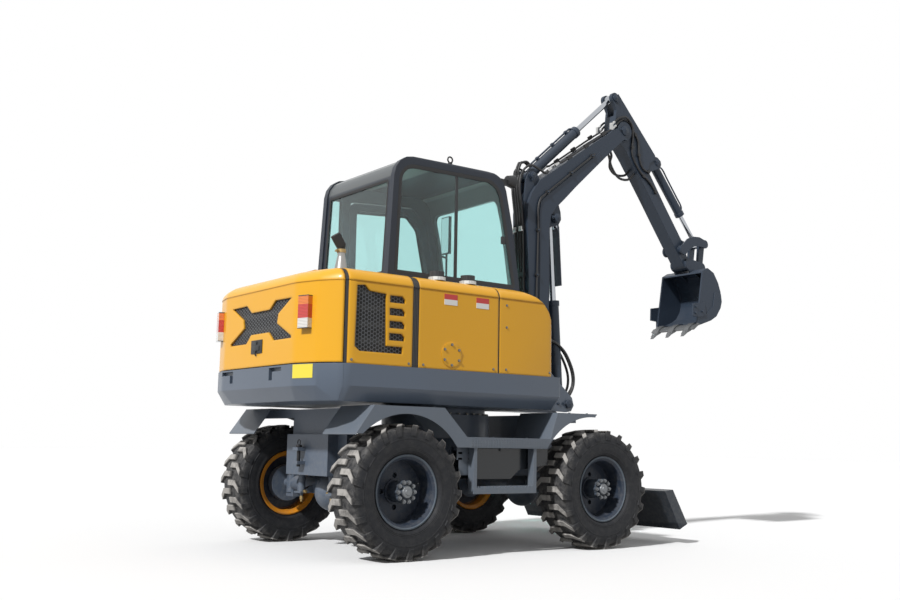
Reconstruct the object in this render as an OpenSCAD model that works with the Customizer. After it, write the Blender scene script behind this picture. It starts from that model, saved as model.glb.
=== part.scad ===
// Wheeled excavator with a slewing upper, a cab on the left, a front blade and a digging arm.
// Millimetres. X is forward, Y is to the left, Z is up. The origin is on the ground,
// under the slewing axis, half way between the axles.

/* [Wheels] */
// Distance between the axles
wheelbase = 1680; // [1600:10:1900]
// Distance between the middle planes of a left and a right wheel
track = 1500; // [1440:10:1600]
// Outer diameter of a tyre, out to its lugs
tyre_d = 831; // [790:1:850]
// Section width of a tyre
tyre_w = 300; // [270:1:315]
// Height of the tread lugs
lug_h = 22; // [10:1:30]
// Diameter of the bead seat of a rim
rim_d = 410; // [390:1:420]
// Width of a rim between its flanges
rim_w = 224; // [200:1:236]
// Distance of a kingpin from the middle plane of its wheel
kingpin_in = 170; // [160:1:190]

/* [Chassis] */
// Width of the main frame box
frame_w = 550; // [480:10:560]
// Height of the bottom of the frame box
frame_z0 = 490; // [485:1:520]
// Height of the top of the frame box
frame_z1 = 760; // [720:1:800]
// Place of the rear end of the frame
frame_rear = -1055; // [-1100:5:-1000]
// Height of the flat top of the fenders
fender_z = 937; // [915:1:940]
// Distance of the outer edge of a fender from the middle
fender_out = 865; // [840:1:900]
// Distance of the inner edge of a fender from the middle
fender_in = 470; // [420:1:520]
// Height of the top of the side steps
step_z = 757; // [720:1:780]
// Thickness of the fender sheet
sheet = 6; // [4:1:10]
// Outer radius of the slew ring
ring_r = 360; // [320:1:400]

/* [Blade] */
// Width of the blade
blade_w = 1720; // [1500:10:1800]

/* [Upper] */
// Width of the upper structure
upper_w = 1700; // [1600:10:1760]
// Height of the underside of the upper structure
deck_z0 = 957; // [950:1:980]
// Height of the top of the grey skirt round the upper structure
deck_z1 = 1180; // [1140:1:1220]
// Height of the top of the hood
hood_z = 1765; // [1700:5:1800]
// Radius of the long edges of the hood
hood_r = 95; // [60:5:120]
// Height of the seam between the side covers and the top cover
ledge_z = 1684; // [1640:1:1700]
// Place of the rear end of the upper structure
tail_x = -1455; // [-1500:5:-1400]
// Thickness of the hood panels
panel_t = 12; // [8:1:20]
// Place of the seam between the rear lid and the side panels
seam_lid = -1281; // [-1300:1:-1250]
// Place of the seam between the engine panel and the tank panel
seam_mid = -781; // [-800:1:-700]
// Place of the seam between the tank panel and the front panel
seam_front = -104; // [-120:1:-60]

/* [Cab] */
// Right side of the cab
cab_right = -150; // [-180:1:-120]
// Left side of the cab
cab_left = 845; // [800:1:850]
// Rear of the cab at its base
cab_rear = -545; // [-580:1:-520]
// Front of the cab at its base
cab_front = 690; // [650:1:720]
// Height of the cab's roof
cab_top = 2780; // [2650:5:2800]
// Thickness of the cab's walls
cab_wall = 45; // [35:1:60]

/* [Boom] */
// Boom foot pin, along X and up
boom_foot = [930, 1300]; // [800:1:1400]
// Pin of the boom cylinder's rod, along X and up
boom_rod_pin = [1110, 2530]; // [1000:1:2600]
// Pin of the boom cylinder's foot, along X and up
boom_cyl_foot = [1205, 1040]; // [1000:1:1300]
// Width of the boom box
boom_w = 180; // [150:1:220]
// Pin between boom and stick, along X and up
stick_pin = [1903, 3413]; // [1800:1:3500]
// Pin of the arm cylinder's foot, along X and up
arm_cyl_foot = [862, 2845]; // [800:1:2900]
// Pin of the arm cylinder's rod, along X and up
arm_rod_pin = [1812, 3694]; // [1700:1:3750]

/* [Stick and bucket] */
// Width of the stick box
stick_w = 130; // [110:1:150]
// Pin between stick and bucket, along X and up
bucket_pin = [2721, 2344]; // [2600:1:2800]
// Pin of the bucket cylinder's foot, along X and up
bucket_cyl_foot = [2345, 3215]; // [2300:1:3300]
// Pin of the bell crank on the stick, along X and up
crank_pin = [2631, 2464]; // [2400:1:2700]
// Pin of bell crank, rod and link, along X and up
link_top_pin = [2919, 2547]; // [2500:1:3000]
// Pin of the link on the bucket, along X and up
link_low_pin = [2890, 2328]; // [2300:1:2950]
// Width of the bucket
bucket_w = 470; // [400:10:600]
// Thickness of the bucket plates
bucket_t = 14; // [10:1:20]

/* [Hidden] */
$fn = 48;
wheel_x = wheelbase / 2;
wheel_y = track / 2;
wheel_z = tyre_d / 2;
kingpin_y = wheel_y - kingpin_in;
rim_in_r = rim_d / 2 - 9;
disc_y = -27;
disc_t = 12;
spindle_r = 30;
run_gap = 0.05;
face_gap = 0.3;
axle_r = 58;
drum_r = 128;
housing_r = 125;
hub_out = 108;
carcass = wheel_z - lug_h;
lug_count = 21;
arch_r = 475;
front_arch = [740, 400, 515];
steer_arm = 150;
steer_z = 380;
steer_eye = 46;
steer_eye_r = 20;
side_box_y = 785;
bracket_y = 600;
step_in = 68.2;
lock_x = -130;
lock_y = 200;
upper_half = upper_w / 2;
skirt_fold = 1045;
front_x = 460;
hood_front = 402;
reach = 3000;
foot_pin_r = 30;
pin_r = 25;
stick_pin_r = 28;
bucket_pin_r = 22;
kingpin_r = 18;
steer_rod_r = 16;
hinge_r = 5;
door_hinge_r = 6;
door_eye_r = 11;

// A shape drawn in X and Z, made w wide along Y about the plane y
module across(w, y = 0) {
  translate([0, y, 0]) rotate([90, 0, 0]) linear_extrude(w, center = true) children();
}
// The children and their mirror image across the middle plane
module both_sides() {
  children();
  mirror([0, 1, 0]) children();
}
// A round bar along Y at p = [x, z]
module bar_y(p, r, w, y = 0) {
  translate([p.x, y, p.y]) rotate([90, 0, 0]) cylinder(r = r, h = w, center = true);
}
// A round bar from a to b, both [x, z], in the plane y
module bar_xz(a, b, r, y = 0) {
  d = b - a;
  translate([a.x, y, a.y]) rotate([0, 90 - atan2(d.y, d.x), 0]) cylinder(r = r, h = norm(d));
}
function along(a, b, s) = a + (b - a) / norm(b - a) * s;
function side_of(a, b) = [-(b - a).y, (b - a).x] / norm(b - a);

// Outline with rounded corners from points [x, y, radius], n steps a corner
function xy(p) = [p.x, p.y];
function turned(p, a) = [p.x * cos(a) - p.y * sin(a), p.x * sin(a) + p.y * cos(a)];
function corner(a, b, c, r, n) = let (
    u = unit(a - b), v = unit(c - b), half = acos(u * v) / 2,
    o = b + unit(u + v) * r / sin(half), s = b + u * r / tan(half) - o,
    turn = (90 - half) * 2 * (cross(u, v) < 0 ? 1 : -1)
  ) [for (i = [0:n]) o + turned(s, turn * i / n)];
function rounded(p, n = 4) = [for (k = [0:len(p) - 1]) let (m = len(p), b = p[k])
  each b[2] < 1 ? [xy(b)] : corner(xy(p[(k + m - 1) % m]), xy(b), xy(p[(k + 1) % m]), b[2], n)];

// Round tube of radius r through the points, 8 sides, as one closed shell
function unit(v) = v / norm(v);
function spline(p, i, u) = let (
    n = len(p) - 1,
    a = p[max(i - 1, 0)], b = p[i], c = p[min(i + 1, n)], d = p[min(i + 2, n)]
  ) 0.5 * (2 * b + (c - a) * u + (2 * a - 5 * b + 4 * c - d) * u * u
    + (3 * b - a - 3 * c + d) * u * u * u);
function smooth(p, k) = concat(
  [for (i = [0:len(p) - 2], j = [0:k - 1]) spline(p, i, j / k)], [p[len(p) - 1]]);
module tube(points, r, k = 3, sides = 8) {
  q = smooth(points, k);
  n = len(q);
  t = [for (i = [0:n - 1]) unit(q[min(i + 1, n - 1)] - q[max(i - 1, 0)])];
  u = [for (i = [0:n - 1]) unit(cross(t[i], [0.03, 1, 0.02]))];
  v = [for (i = [0:n - 1]) cross(t[i], u[i])];
  rings = [for (i = [0:n - 1], j = [0:sides - 1])
    q[i] + r * (cos(360 * j / sides) * u[i] + sin(360 * j / sides) * v[i])];
  walls = [for (i = [0:n - 2], j = [0:sides - 1])
    [i * sides + j, (i + 1) * sides + j, (i + 1) * sides + (j + 1) % sides, i * sides + (j + 1) % sides]];
  polyhedron(rings, concat(
    [[for (j = [0:sides - 1]) j]], walls, [[for (j = [sides - 1:-1:0]) (n - 1) * sides + j]]));
}

// Barrel of a cylinder from its foot eye a towards the rod eye b
module barrel(a, b, len, r, rod_r, rod_start, eye_r, eye_w, eye_pin_r) {
  difference() {
    union() {
      bar_xz(along(a, b, eye_r * 0.6), along(a, b, len), r);
      bar_xz(along(a, b, len - 0.9 * r), along(a, b, len), r * 1.12);
      bar_y(a, eye_r, eye_w);
    }
    bar_xz(along(a, b, rod_start), along(a, b, len + 10), rod_r + run_gap);
    bar_y(a, eye_pin_r + run_gap, eye_w + 10);
  }
}
// Rod of a cylinder, from inside its barrel to its eye at b
module rod(a, b, start, rod_r, eye_r, eye_w) {
  bar_xz(along(a, b, start), b, rod_r);
  bar_y(b, eye_r, eye_w);
}

// Chassis
module chassis_frame() {
  color("slategray") {
    difference() {
      across(frame_w) polygon([
        [frame_rear, frame_z0], [frame_rear, frame_z1], [1060, frame_z1], [1060, frame_z0 + 60],
        [1000, frame_z0]
      ]);
      // Arches over the axles
      for (x = [-wheel_x, wheel_x]) bar_y([x, wheel_z], 137, frame_w + 2);
    }
    // Wider box behind the slew ring, ahead of the rear wheels' inner sweep
    for (s = [-1, 1])
      translate([frame_rear + 75, s > 0 ? frame_w / 2 - 1 : -frame_w / 2 - 109, frame_z0])
        cube([230, 110, frame_z1 - frame_z0]);
    // Pedestal of the slew ring
    translate([0, 0, frame_z1 - 1]) cylinder(r = ring_r + 30, h = deck_z0 - frame_z1 - 40);
    translate([0, 0, deck_z0 - 45]) cylinder(r = ring_r, h = 45 - face_gap);
    // Outriggers that carry the fenders and steps
    for (x = [-290, -40, 260])
      translate([x, -fender_out + step_in, frame_z1 - 90])
        cube([60, 2 * (fender_out - step_in), step_z - frame_z1 + 90 - sheet - 2 - face_gap]);
    for (x = [-1010, 560])
      translate([x, -fender_out + 20, fender_z - 66]) cube([40, 2 * fender_out - 40, 58 - face_gap]);
    for (x = [-1010, 560])
      translate([x, -frame_w / 2, frame_z1 - 1]) cube([40, frame_w, fender_z - frame_z1 - 40]);
    // Tanks behind the steps, and a slotted bracket plate beside each
    both_sides() {
      across(side_box_y - frame_w / 2 + 1, -(side_box_y + frame_w / 2) / 2) polygon([
        [-285, 688], [-285, frame_z0 - 3], [60, frame_z0 - 3], [130, 545], [390, 580], [390, 688]
      ]);
      across(10, -bracket_y) difference() {
        polygon([[-310, 692], [-310, 600], [-285, 545], [-119, 545], [-119, 692]]);
        for (x = [-285, -190], z = [610, 650]) translate([x, z]) square([34, 10]);
      }
    }
    // Towing jaw at the rear
    difference() {
      for (z = [560, 650]) translate([frame_rear - 60, 15, z]) cube([61, 70, 22]);
      translate([frame_rear - 32, 50, 540]) cylinder(r = 13, h = 150);
    }
    // Blade hinge pins and the lugs of the blade cylinder
    bar_y([1010, 560], 20, frame_w + 150);
    for (s = [-1, 1]) across(16, s * 46.3) polygon([
      [1000, 740], [1000, 620], [1080, 620], [1130, 660], [1130, 700], [1080, 740]
    ]);
    bar_y(blade_foot, 18, 100);
    // Saddles on the axles
    for (x = [-wheel_x, wheel_x], y = [-260, 170])
      translate([x - 50, y, wheel_z + axle_r + face_gap]) cube([100, 90, 110]);
  }
}

// Bent sheet of one fender run, outer line as [x, z]
function fender_line() = [
  [-1210, 765], [-1084, fender_z], [-557, fender_z], [-375, step_z], [345, step_z],
  [411, fender_z], [785, fender_z]
];
module fenders() {
  top = fender_line();
  under = [for (i = [len(top) - 1:-1:0]) top[i] - [0, sheet + 2]];
  color("slategray") both_sides() {
    across(fender_out - fender_in, -(fender_out + fender_in) / 2) polygon(concat(top, under));
    across(sheet, -fender_out + sheet / 2) difference() {
      polygon(concat(top, [
        [762, fender_z - 34], [740, fender_z - 34], [330, 690], [-345, 690], [-1210, 690]
      ]));
      translate([-wheel_x, wheel_z]) circle(r = arch_r, $fn = 96);
      translate([front_arch.x, front_arch.y]) circle(r = front_arch[2], $fn = 96);
      translate([-1300, 600]) square([300, 164]);
    }
  }
}

// Ladder steps under the tread plates
module steps() {
  color("slategray") both_sides() {
    for (x = [-310, 200]) translate([x, -fender_out + 8, 395]) cube([25, 60, 690 - 395 + 1]);
    translate([-310, -fender_out + 8, 395]) cube([535, 60, 40]);
    for (i = [0:16]) translate([-278 + i * 29, -fender_out + 8, 434]) cube([15, 60, 10]);
    translate([-345, -fender_out + 8, 689]) cube([665, 60, 12]);
  }
}

module front_axle() {
  color("slategray") {
    bar_y([wheel_x, wheel_z], axle_r, 2 * (wheel_y - 110));
    translate([wheel_x, 0, wheel_z - 40]) sphere(r = housing_r);
    both_sides() {
      bar_y([wheel_x, wheel_z], drum_r, 60, -(wheel_y - 82));
      bar_y([wheel_x, wheel_z], spindle_r, 60, -(wheel_y - 25));
    }
  }
}

module rear_axle() {
  color("slategray") {
    bar_y([-wheel_x, wheel_z], axle_r, 2 * (kingpin_y - 78));
    translate([-wheel_x, 0, wheel_z - 40]) sphere(r = housing_r);
    both_sides() {
      // Yoke with the kingpin
      translate([-wheel_x - 40, -kingpin_y + 62, wheel_z - 92]) cube([66, 30, 184]);
      for (z = [-92, 70]) {
        translate([-wheel_x, -kingpin_y, wheel_z + z]) cylinder(r = 40, h = 22);
        translate([-wheel_x - 40, -kingpin_y, wheel_z + z]) cube([80, 85, 22]);
      }
      translate([-wheel_x, -kingpin_y, wheel_z - 80]) cylinder(r = kingpin_r, h = 160);
      // Axle lock cylinder up to the frame, on its arm
      translate([-wheel_x + lock_x, -lock_y, wheel_z - 40]) {
        cylinder(r = 24, h = frame_z0 - wheel_z + 40 - face_gap);
        translate([0, -34, 0]) cylinder(r = 13, h = 70);
        translate([0, 0, -30]) cylinder(r = 10, h = 31);
        translate([-30, -54, -12]) cube([60, 90, 12]);
      }
      across(40, -lock_y) polygon([
        [-wheel_x, wheel_z + 20], [-wheel_x - 75, wheel_z - 8], [-wheel_x + lock_x, wheel_z - 40],
        [-wheel_x + lock_x, wheel_z - 52], [-wheel_x, wheel_z - 52]
      ]);
    }
    // Steering cylinder on the front of the axle
    difference() {
      bar_y([-wheel_x + steer_arm, steer_z + 20], 40, 330);
      bar_y([-wheel_x + steer_arm, steer_z + 20], steer_rod_r + run_gap, 340);
    }
    for (y = [-110, 80]) translate([-wheel_x + 30, y, steer_z - 5]) cube([steer_arm - 60, 30, 50]);
  }
}

module steering_rod() {
  x = -wheel_x + steer_arm;
  color("silver") {
    bar_y([x, steer_z + 20], steer_rod_r, 2 * (kingpin_y - steer_eye));
    for (s = [-1, 1])
      translate([x, s * (kingpin_y - steer_eye), steer_z + face_gap]) cylinder(r = steer_eye_r, h = 38);
  }
}

module knuckle(s) {
  mirror([0, s > 0 ? 1 : 0, 0]) color("slategray") {
    difference() {
      union() {
        translate([-wheel_x, -kingpin_y, wheel_z - 65]) cylinder(r = 38, h = 130);
        bar_y([-wheel_x, wheel_z], 34, kingpin_in - 112, -kingpin_y - (kingpin_in - 112) / 2);
        translate([-wheel_x, -kingpin_y, steer_z - 20]) linear_extrude(20)
          polygon([[0, 22], [0, -22], [steer_arm, steer_eye - 16], [steer_arm, steer_eye + 16]]);
        translate([-wheel_x + steer_arm, -kingpin_y + steer_eye, steer_z - 20]) cylinder(r = 24, h = 20);
      }
      translate([-wheel_x, -kingpin_y, wheel_z - 70]) cylinder(r = kingpin_r + run_gap, h = 140);
    }
    bar_y([-wheel_x, wheel_z], drum_r, 60, -(wheel_y - 82));
    bar_y([-wheel_x, wheel_z], spindle_r, 60, -(wheel_y - 25));
  }
}

// Half outline of a tyre as [radius, distance from its middle plane]
tyre_half = [
  [rim_d / 2, rim_w / 2 - 12], [rim_d / 2 + 22, rim_w / 2], [rim_d / 2 + 45, tyre_w / 2 - 10],
  [rim_d / 2 + 95, tyre_w / 2 - 3], [carcass - 50, tyre_w / 2 - 5], [carcass - 12, tyre_w / 2 - 18],
  [carcass, tyre_w / 2 - 40]
];
// Sections of a lug from the middle of the tread to the sidewall:
// [radius and y inside, radius and y outside, turn in degrees, half width inside, half width outside]
lug_path = [
  [carcass - 4, -15, wheel_z, -9, 0, 22, 18],
  [carcass - 4, tyre_w / 2 - 72, wheel_z, tyre_w / 2 - 70, 0, 22, 18],
  [carcass - 22, tyre_w / 2 - 28, wheel_z - 6, tyre_w / 2 - 12, 7, 22, 18],
  [carcass - 58, tyre_w / 2 - 12, carcass - 50, tyre_w / 2, 9, 21, 17]
];
function on_wheel(r, y, a, w) = [r * cos(a + w / r * 57.3), y, r * sin(a + w / r * 57.3)];
module lug() {
  points = [for (q = lug_path) each [
    on_wheel(q[0], q[1], q[4], -q[5]), on_wheel(q[0], q[1], q[4], q[5]),
    on_wheel(q[2], q[3], q[4], q[6]), on_wheel(q[2], q[3], q[4], -q[6])
  ]];
  walls = [for (k = [0:4:8], j = [0:3]) [k + j, k + 4 + j, k + 4 + (j + 1) % 4, k + (j + 1) % 4]];
  polyhedron(points, concat([[0, 1, 2, 3]], walls, [[15, 14, 13, 12]]));
}
module tyre(x, s) {
  outline = concat(tyre_half, [for (i = [len(tyre_half) - 1:-1:0]) [tyre_half[i].x, -tyre_half[i].y]]);
  color("dimgray") translate([x, s * wheel_y, wheel_z]) {
    rotate([90, 0, 0]) rotate_extrude($fn = 96) polygon(outline);
    for (m = [0, 1], i = [0:lug_count - 1])
      mirror([0, m, 0]) rotate([0, -360 * (i + m / 2) / lug_count, 0]) lug();
  }
}
// Rim with its disc and hub, outer side towards +Z before it is stood up
module rim(x, s) {
  r = rim_d / 2;
  w = rim_w / 2;
  color("dimgray") translate([x, s * wheel_y, wheel_z]) rotate([s > 0 ? -90 : 90, 0, 0]) difference() {
    union() {
      rotate_extrude($fn = 96) polygon([
        [r - 9, -w + 2], [r, -w + 12], [r, w - 12], [r + 21, w + 1], [r + 23, w + 12], [r + 15, w + 14],
        [r - 6, w - 4], [r - 9, w - 14], [r - 14, 20], [r - 14, -20]
      ]);
      rotate_extrude($fn = 96) polygon([
        [r - 9, -w + 2], [r, -w + 12], [r + 21, -w - 1], [r + 23, -w - 12], [r + 15, -w - 14], [r - 6, -w + 2]
      ]);
      translate([0, 0, disc_y]) cylinder(r = rim_in_r, h = disc_t);
      // Hub with its stud flange and cap
      translate([0, 0, disc_y]) cylinder(r = 78, h = disc_t + 10);
      translate([0, 0, disc_y]) cylinder(r = 66, h = hub_out - disc_y);
      for (a = [0:36:359]) rotate(a) translate([60, 0, hub_out - 12]) cylinder(r = 13, h = 18);
      translate([0, 0, hub_out - 1]) cylinder(r = 40, h = 16);
    }
    translate([0, 0, disc_y - 1]) cylinder(r = spindle_r + run_gap, h = 62);
    for (a = [0:90:359]) rotate(a) translate([98, 0, disc_y - 1]) cylinder(r = 16, h = disc_t + 2);
  }
}

// Blade with its arms
blade_top = [1495, 392];
blade_low = [1656, 108];
blade_pivot = [1010, 560];
blade_eye = [1470, 440];
module blade() {
  d = blade_low - blade_top;
  color("slategray") {
    difference() {
      across(blade_w) polygon([blade_top, blade_low, [1740, 146], [1583, 402]]);
      bar_y([2065, 470], 445, blade_w - 24);
    }
    difference() {
      for (s = [-1, 1]) across(40, s * 305) polygon([
        [980, 530], [1010, 520], [1530, 255], [1590, 250], [1535, 345], [1040, 590], [980, 590]
      ]);
      bar_y(blade_pivot, 20 + run_gap, 700);
    }
    for (s = [-1, 1]) difference() {
      across(16, s * 38.3) polygon([
        [1430, 470], [1500, 470], [1540, 400], [1580, 300], [1545, 300], [1430, 425]
      ]);
      bar_y(blade_eye, 16, 120);
    }
  }
}
blade_foot = [1100, 680];
module blade_barrel() {
  color("slategray") barrel(blade_foot, blade_eye, 300, 36, 18, 110, 30, 76, 18);
}
module blade_rod() {
  color("silver") rod(blade_foot, blade_eye, 190, 18, 26, 60);
}

// Plan of the upper structure, drawn in by i all round, with its front at x1
function plan(i, x1, r = 0) = rounded([
  [x1, -upper_half + i, r - i], [tail_x + 165, -upper_half + i, 110 - i],
  [tail_x + 55 + i * 0.7, -0.81 * upper_half + i, 180 - i], [tail_x + i, -0.588 * upper_half + i, 200 - i],
  [tail_x + i, 0.588 * upper_half - i, 200 - i], [tail_x + 55 + i * 0.7, 0.81 * upper_half - i, 180 - i],
  [tail_x + 165, upper_half - i, 110 - i], [x1, upper_half - i, r - i]
], 3);
module slab(x0, x1, y0, y1, z0, z1) {
  translate([x0, y0, z0]) cube([x1 - x0, y1 - y0, z1 - z0]);
}
module band() {
  hull() {
    translate([0, 0, skirt_fold]) linear_extrude(deck_z1 - skirt_fold) polygon(plan(0, front_x, 30));
    translate([0, 0, deck_z0]) linear_extrude(1) polygon(plan(55, front_x - 50));
  }
}
cw_split = seam_lid - 9;
module upper_frame() {
  color("slategray") {
    difference() {
      band();
      slab(-reach, cw_split, -reach, reach, 0, reach);
    }
    // Bracket plates of the boom foot
    for (s = [-1, 1]) across(24, s * (boom_w / 2 + 20)) polygon([
      [front_x - 60, deck_z0 + 8], [front_x - 60, deck_z1 - 10], [cab_front + 20, deck_z1 - 10],
      [cab_front + 70, 1300], [880, 1372], [975, 1350], [1010, 1290],
      [1250, 1090], [1268, 1030], [1240, 985], [1190, 975], [900, 985], [700, 970]
    ]);
    translate([front_x - 60, -boom_w / 2 - 10, deck_z0 + 8]) cube([700, boom_w + 20, 24]);
    translate([front_x + 200, -boom_w / 2 - 10, deck_z0 + 8]) cube([24, boom_w + 20, 200]);
    // Floor under the front of the cab
    slab(front_x - 1, cab_front - 1, cab_right, cab_left, skirt_fold + 8, deck_z1);
    bar_y(boom_foot, foot_pin_r, boom_w + 90);
    bar_y(boom_cyl_foot, pin_r, boom_w + 90);
    translate([0, 0, deck_z0 - 0.01]) cylinder(r = ring_r, h = 30);
  }
}
module counterweight() {
  color("slategray") difference() {
    intersection() {
      band();
      slab(-reach, cw_split - face_gap, -reach, reach, 0, reach);
    }
    // Two angled lifting slots in the rear face
    for (y = [[505, 331, 331], [-190, -352, -235]]) {
      slab(tail_x - 1, tail_x + 25, y[1], y[0], deck_z1 - 36, deck_z1 - 11);
      slab(tail_x - 1, tail_x + 25, y[2], y[2] + 45, deck_z1 - 90, deck_z1 - 35);
    }
  }
}
module engine() {
  color("gray") translate([-1180, -300, deck_z1]) cube([480, 720, 420]);
}

// Hood: outer volume less its wall, cut into panels with rubber seals between them
ledge = 5;
seams = [[seam_lid, 8], [seam_mid, 25], [seam_front, 6]];
function before(k) = seams[k][0] - seams[k][1] - face_gap;
function after(k) = seams[k][0] + seams[k][1] + face_gap;
hood_profile = [
  [-reach, deck_z1 - 200], [-reach, hood_z], [hood_front - 342, hood_z], [hood_front - 252, hood_z - 13],
  [hood_front - 167, hood_z - 43], [hood_front - 102, hood_z - 87], [hood_front - 57, hood_z - 140],
  [hood_front - 27, hood_z - 200], [hood_front - 10, hood_z - 275], [hood_front - 2, hood_z - 365],
  [hood_front, deck_z1], [hood_front, deck_z1 - 200]
];
module hood_layer(i, z, h = 0.01) {
  translate([0, 0, z]) linear_extrude(h) polygon(plan(i, hood_front - i, 60));
}
module hood_volume(i) {
  s = hood_r - i;
  intersection() {
    union() {
      hood_layer(i + ledge, deck_z1 + face_gap, ledge_z - deck_z1 + 1);
      hull() for (a = [9, 28, 46, 62, 78, 90]) hood_layer(hood_r - s * cos(a), hood_z - hood_r + s * sin(a));
    }
    across(2 * reach) offset(delta = -i) polygon(hood_profile);
  }
}
module hood_shell() {
  difference() {
    hood_volume(0);
    translate([0, 0, -1]) hood_volume(panel_t);
    hood_volume(panel_t);
  }
}
hood_in = cab_right - 10;
// Sides and top of the hood, from x0 to x1 and from the right side to y1
module side_slab(x0, x1, y1 = -upper_half + 150) {
  slab(x0, x1, -reach, y1, 0, ledge_z);
}
module top_slab(x0, x1, y1 = reach) {
  slab(x0, x1, -reach, y1, ledge_z + face_gap, reach);
}
side_vent = [
  [62, -27], [119, -21], [155, -54], [274, -62], [283, -384], [402, -383], [404, -427], [89, -427],
  [54, -400]
];
module vents() {
  translate([seam_lid, ledge_z]) {
    polygon(side_vent);
    for (z = [-347, -271, -191, -112])
      translate([302, z]) polygon([[0, 0], [0, 45], [94, 45], [115, 24], [115, 0]]);
  }
}
module side_panels() {
  color("goldenrod") difference() {
    union() {
      intersection() {
        hood_shell();
        union() {
          side_slab(after(0), before(1));
          side_slab(after(1), before(2));
          side_slab(after(2), reach, hood_in);
          mirror([0, 1, 0]) side_slab(after(0), before(1));
          mirror([0, 1, 0]) side_slab(after(1), cab_rear - 22);
        }
      }
      // Round cover over the tank's filter
      bar_y([-498, deck_z1 + 97], 80, 6, -upper_half + ledge - 1);
    }
    across(3 * upper_half) vents();
  }
}
lid_hinge_y = [-420, 420];
module hood_top() {
  z = hood_z + 14;
  color("goldenrod") {
    intersection() {
      hood_shell();
      union() {
        top_slab(after(0), before(1));
        top_slab(after(1), cab_rear - 8);
        top_slab(after(1), before(2), hood_in);
        top_slab(after(2), reach, hood_in);
      }
    }
    // Hinge eyes of the rear lid
    for (y = lid_hinge_y) across(30, y) difference() {
      union() {
        polygon([
          [seam_lid, z + 9], [seam_lid + 20, z + 6], [seam_lid + 50, hood_z + 6], [seam_lid + 50, hood_z - 1],
          [after(0) + 0.1, hood_z - 1], [after(0) + 0.1, hood_z + 2], [seam_lid, z - 9]
        ]);
        circle_at([seam_lid, z], 9);
      }
      circle_at([seam_lid, z], hinge_r + run_gap);
    }
  }
}
module seals() {
  color("black") intersection() {
    difference() {
      hood_volume(3);
      translate([0, 0, -1]) hood_volume(panel_t);
      hood_volume(panel_t);
    }
    union() {
      slab(seams[0][0] - seams[0][1], seams[0][0] + seams[0][1], -reach, reach, 0, reach);
      slab(seams[1][0] - seams[1][1], seams[1][0] + seams[1][1], -reach, reach, 0, reach);
      slab(seams[2][0] - seams[2][1], seams[2][0] + seams[2][1], -reach, hood_in, 0, reach);
    }
  }
}
// Perforated sheets behind the vents of the engine covers
module side_grille() {
  y = -upper_half + ledge + panel_t + 0.2;
  color("black") both_sides()
    slab(seam_lid + 50, seam_lid + 430, y, y + 4, ledge_z - 445, ledge_z - 8);
}
// Tank caps on their flanges
module filler_caps() {
  color("silver") for (x = [-545, -290]) translate([x, -upper_half + 115, hood_z + 0.2]) {
    cylinder(r = 57, h = 22);
    cylinder(r = 48, h = 60);
  }
}
module exhaust() {
  color("silver") translate([-1205, -620, hood_z + 0.2]) {
    cylinder(r1 = 45, r2 = 26, h = 95);
    cylinder(r = 24, h = 175);
    translate([0, 0, 160]) rotate([0, -35, 0]) cylinder(r = 32, h = 85);
  }
}
module rear_lid() {
  z = hood_z + 14;
  half = [
    [96, -137], [170, -84], [390, -87], [218, -174], [205, -234], [397, -326], [397, -340], [160, -340],
    [92, -284]
  ];
  cross_vent = concat(half, [for (i = [8:-1:0]) [-60 - half[i].x, half[i].y]]);
  color("goldenrod") {
    difference() {
      intersection() {
        hood_shell();
        slab(-reach, before(0) - 5, -reach, reach, deck_z1 + 6, reach);
      }
      translate([tail_x, 0, ledge_z]) rotate([90, 0, 90])
        linear_extrude(100, center = true) polygon(cross_vent);
    }
    // Arms and pins of the hinges
    for (y = lid_hinge_y) {
      for (s = [-1, 1]) across(30, y + s * 30.5) union() {
        polygon([
          [seam_lid, z + 9], [seam_lid - 20, z + 8], [seam_lid - 62, hood_z + 6], [seam_lid - 62, hood_z - 1],
          [before(0) - 6, hood_z - 1], [before(0) - 6, hood_z + 2], [seam_lid, z - 9]
        ]);
        circle_at([seam_lid, z], 9);
      }
      bar_y([seam_lid, z], hinge_r, 80, y);
    }
  }
}
// Perforated sheet behind the rear lid's vent
module lid_grille() {
  x = tail_x + ledge + panel_t + 0.2;
  color("black") slab(x, x + 4, -462, 402, ledge_z - 360, ledge_z - 60);
}
module tail_lamps() {
  color("red") difference() {
    for (s = [-1, 1])
      translate([tail_x + 27, s * 0.706 * upper_half, ledge_z - 191]) rotate(-s * 16.3)
        cube([60, 85, 205], center = true);
    hood_volume(-face_gap);
  }
}

// Cab: each outline point as [along, up, inward along, inward up, radius].
// The roof and the end walls lie a little inside the thick side frames.
cab_lean = 12;
cab_inset = 12;
cab_side = [
  [cab_rear - 15, deck_z1 + face_gap, 1, 0, 0], [cab_rear, 1900, 1, 0, 0],
  [cab_rear + 42, cab_top - 18, 1, -1, 170],
  [496, cab_top, -1, -1, 170], [590, 2380, -1, 0, 500], [cab_front - 22, 1910, -1, 0, 0],
  [cab_front + 10, deck_z1 + face_gap, -1, 0, 0]
];
cab_face = [
  [cab_right, deck_z1 + face_gap, 1, 0, 0], [cab_right, cab_top, 1, -1, 34],
  [cab_left - cab_lean, cab_top, -1, -1, 34], [cab_left, 1900, -1, 0, 0],
  [cab_left, deck_z1 + face_gap, -1, 0, 0]
];
function drawn_in(p, i) = rounded([for (q = p)
  [q[0] + i * q[2], q[1] + i * q[3], max(q[4] - i, q[4] / 3)]]);
cab_floor_z = 1250;
cab_roof_z = cab_top - 185;
module cab_volume(i) {
  intersection() {
    across(2 * reach) polygon(drawn_in(cab_side, i));
    rotate([90, 0, 90]) linear_extrude(2 * reach, center = true) polygon(drawn_in(cab_face, i));
  }
}
module cab_shell(a = 0, b = cab_wall) {
  difference() {
    cab_volume(a);
    cab_volume(b);
  }
}
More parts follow.
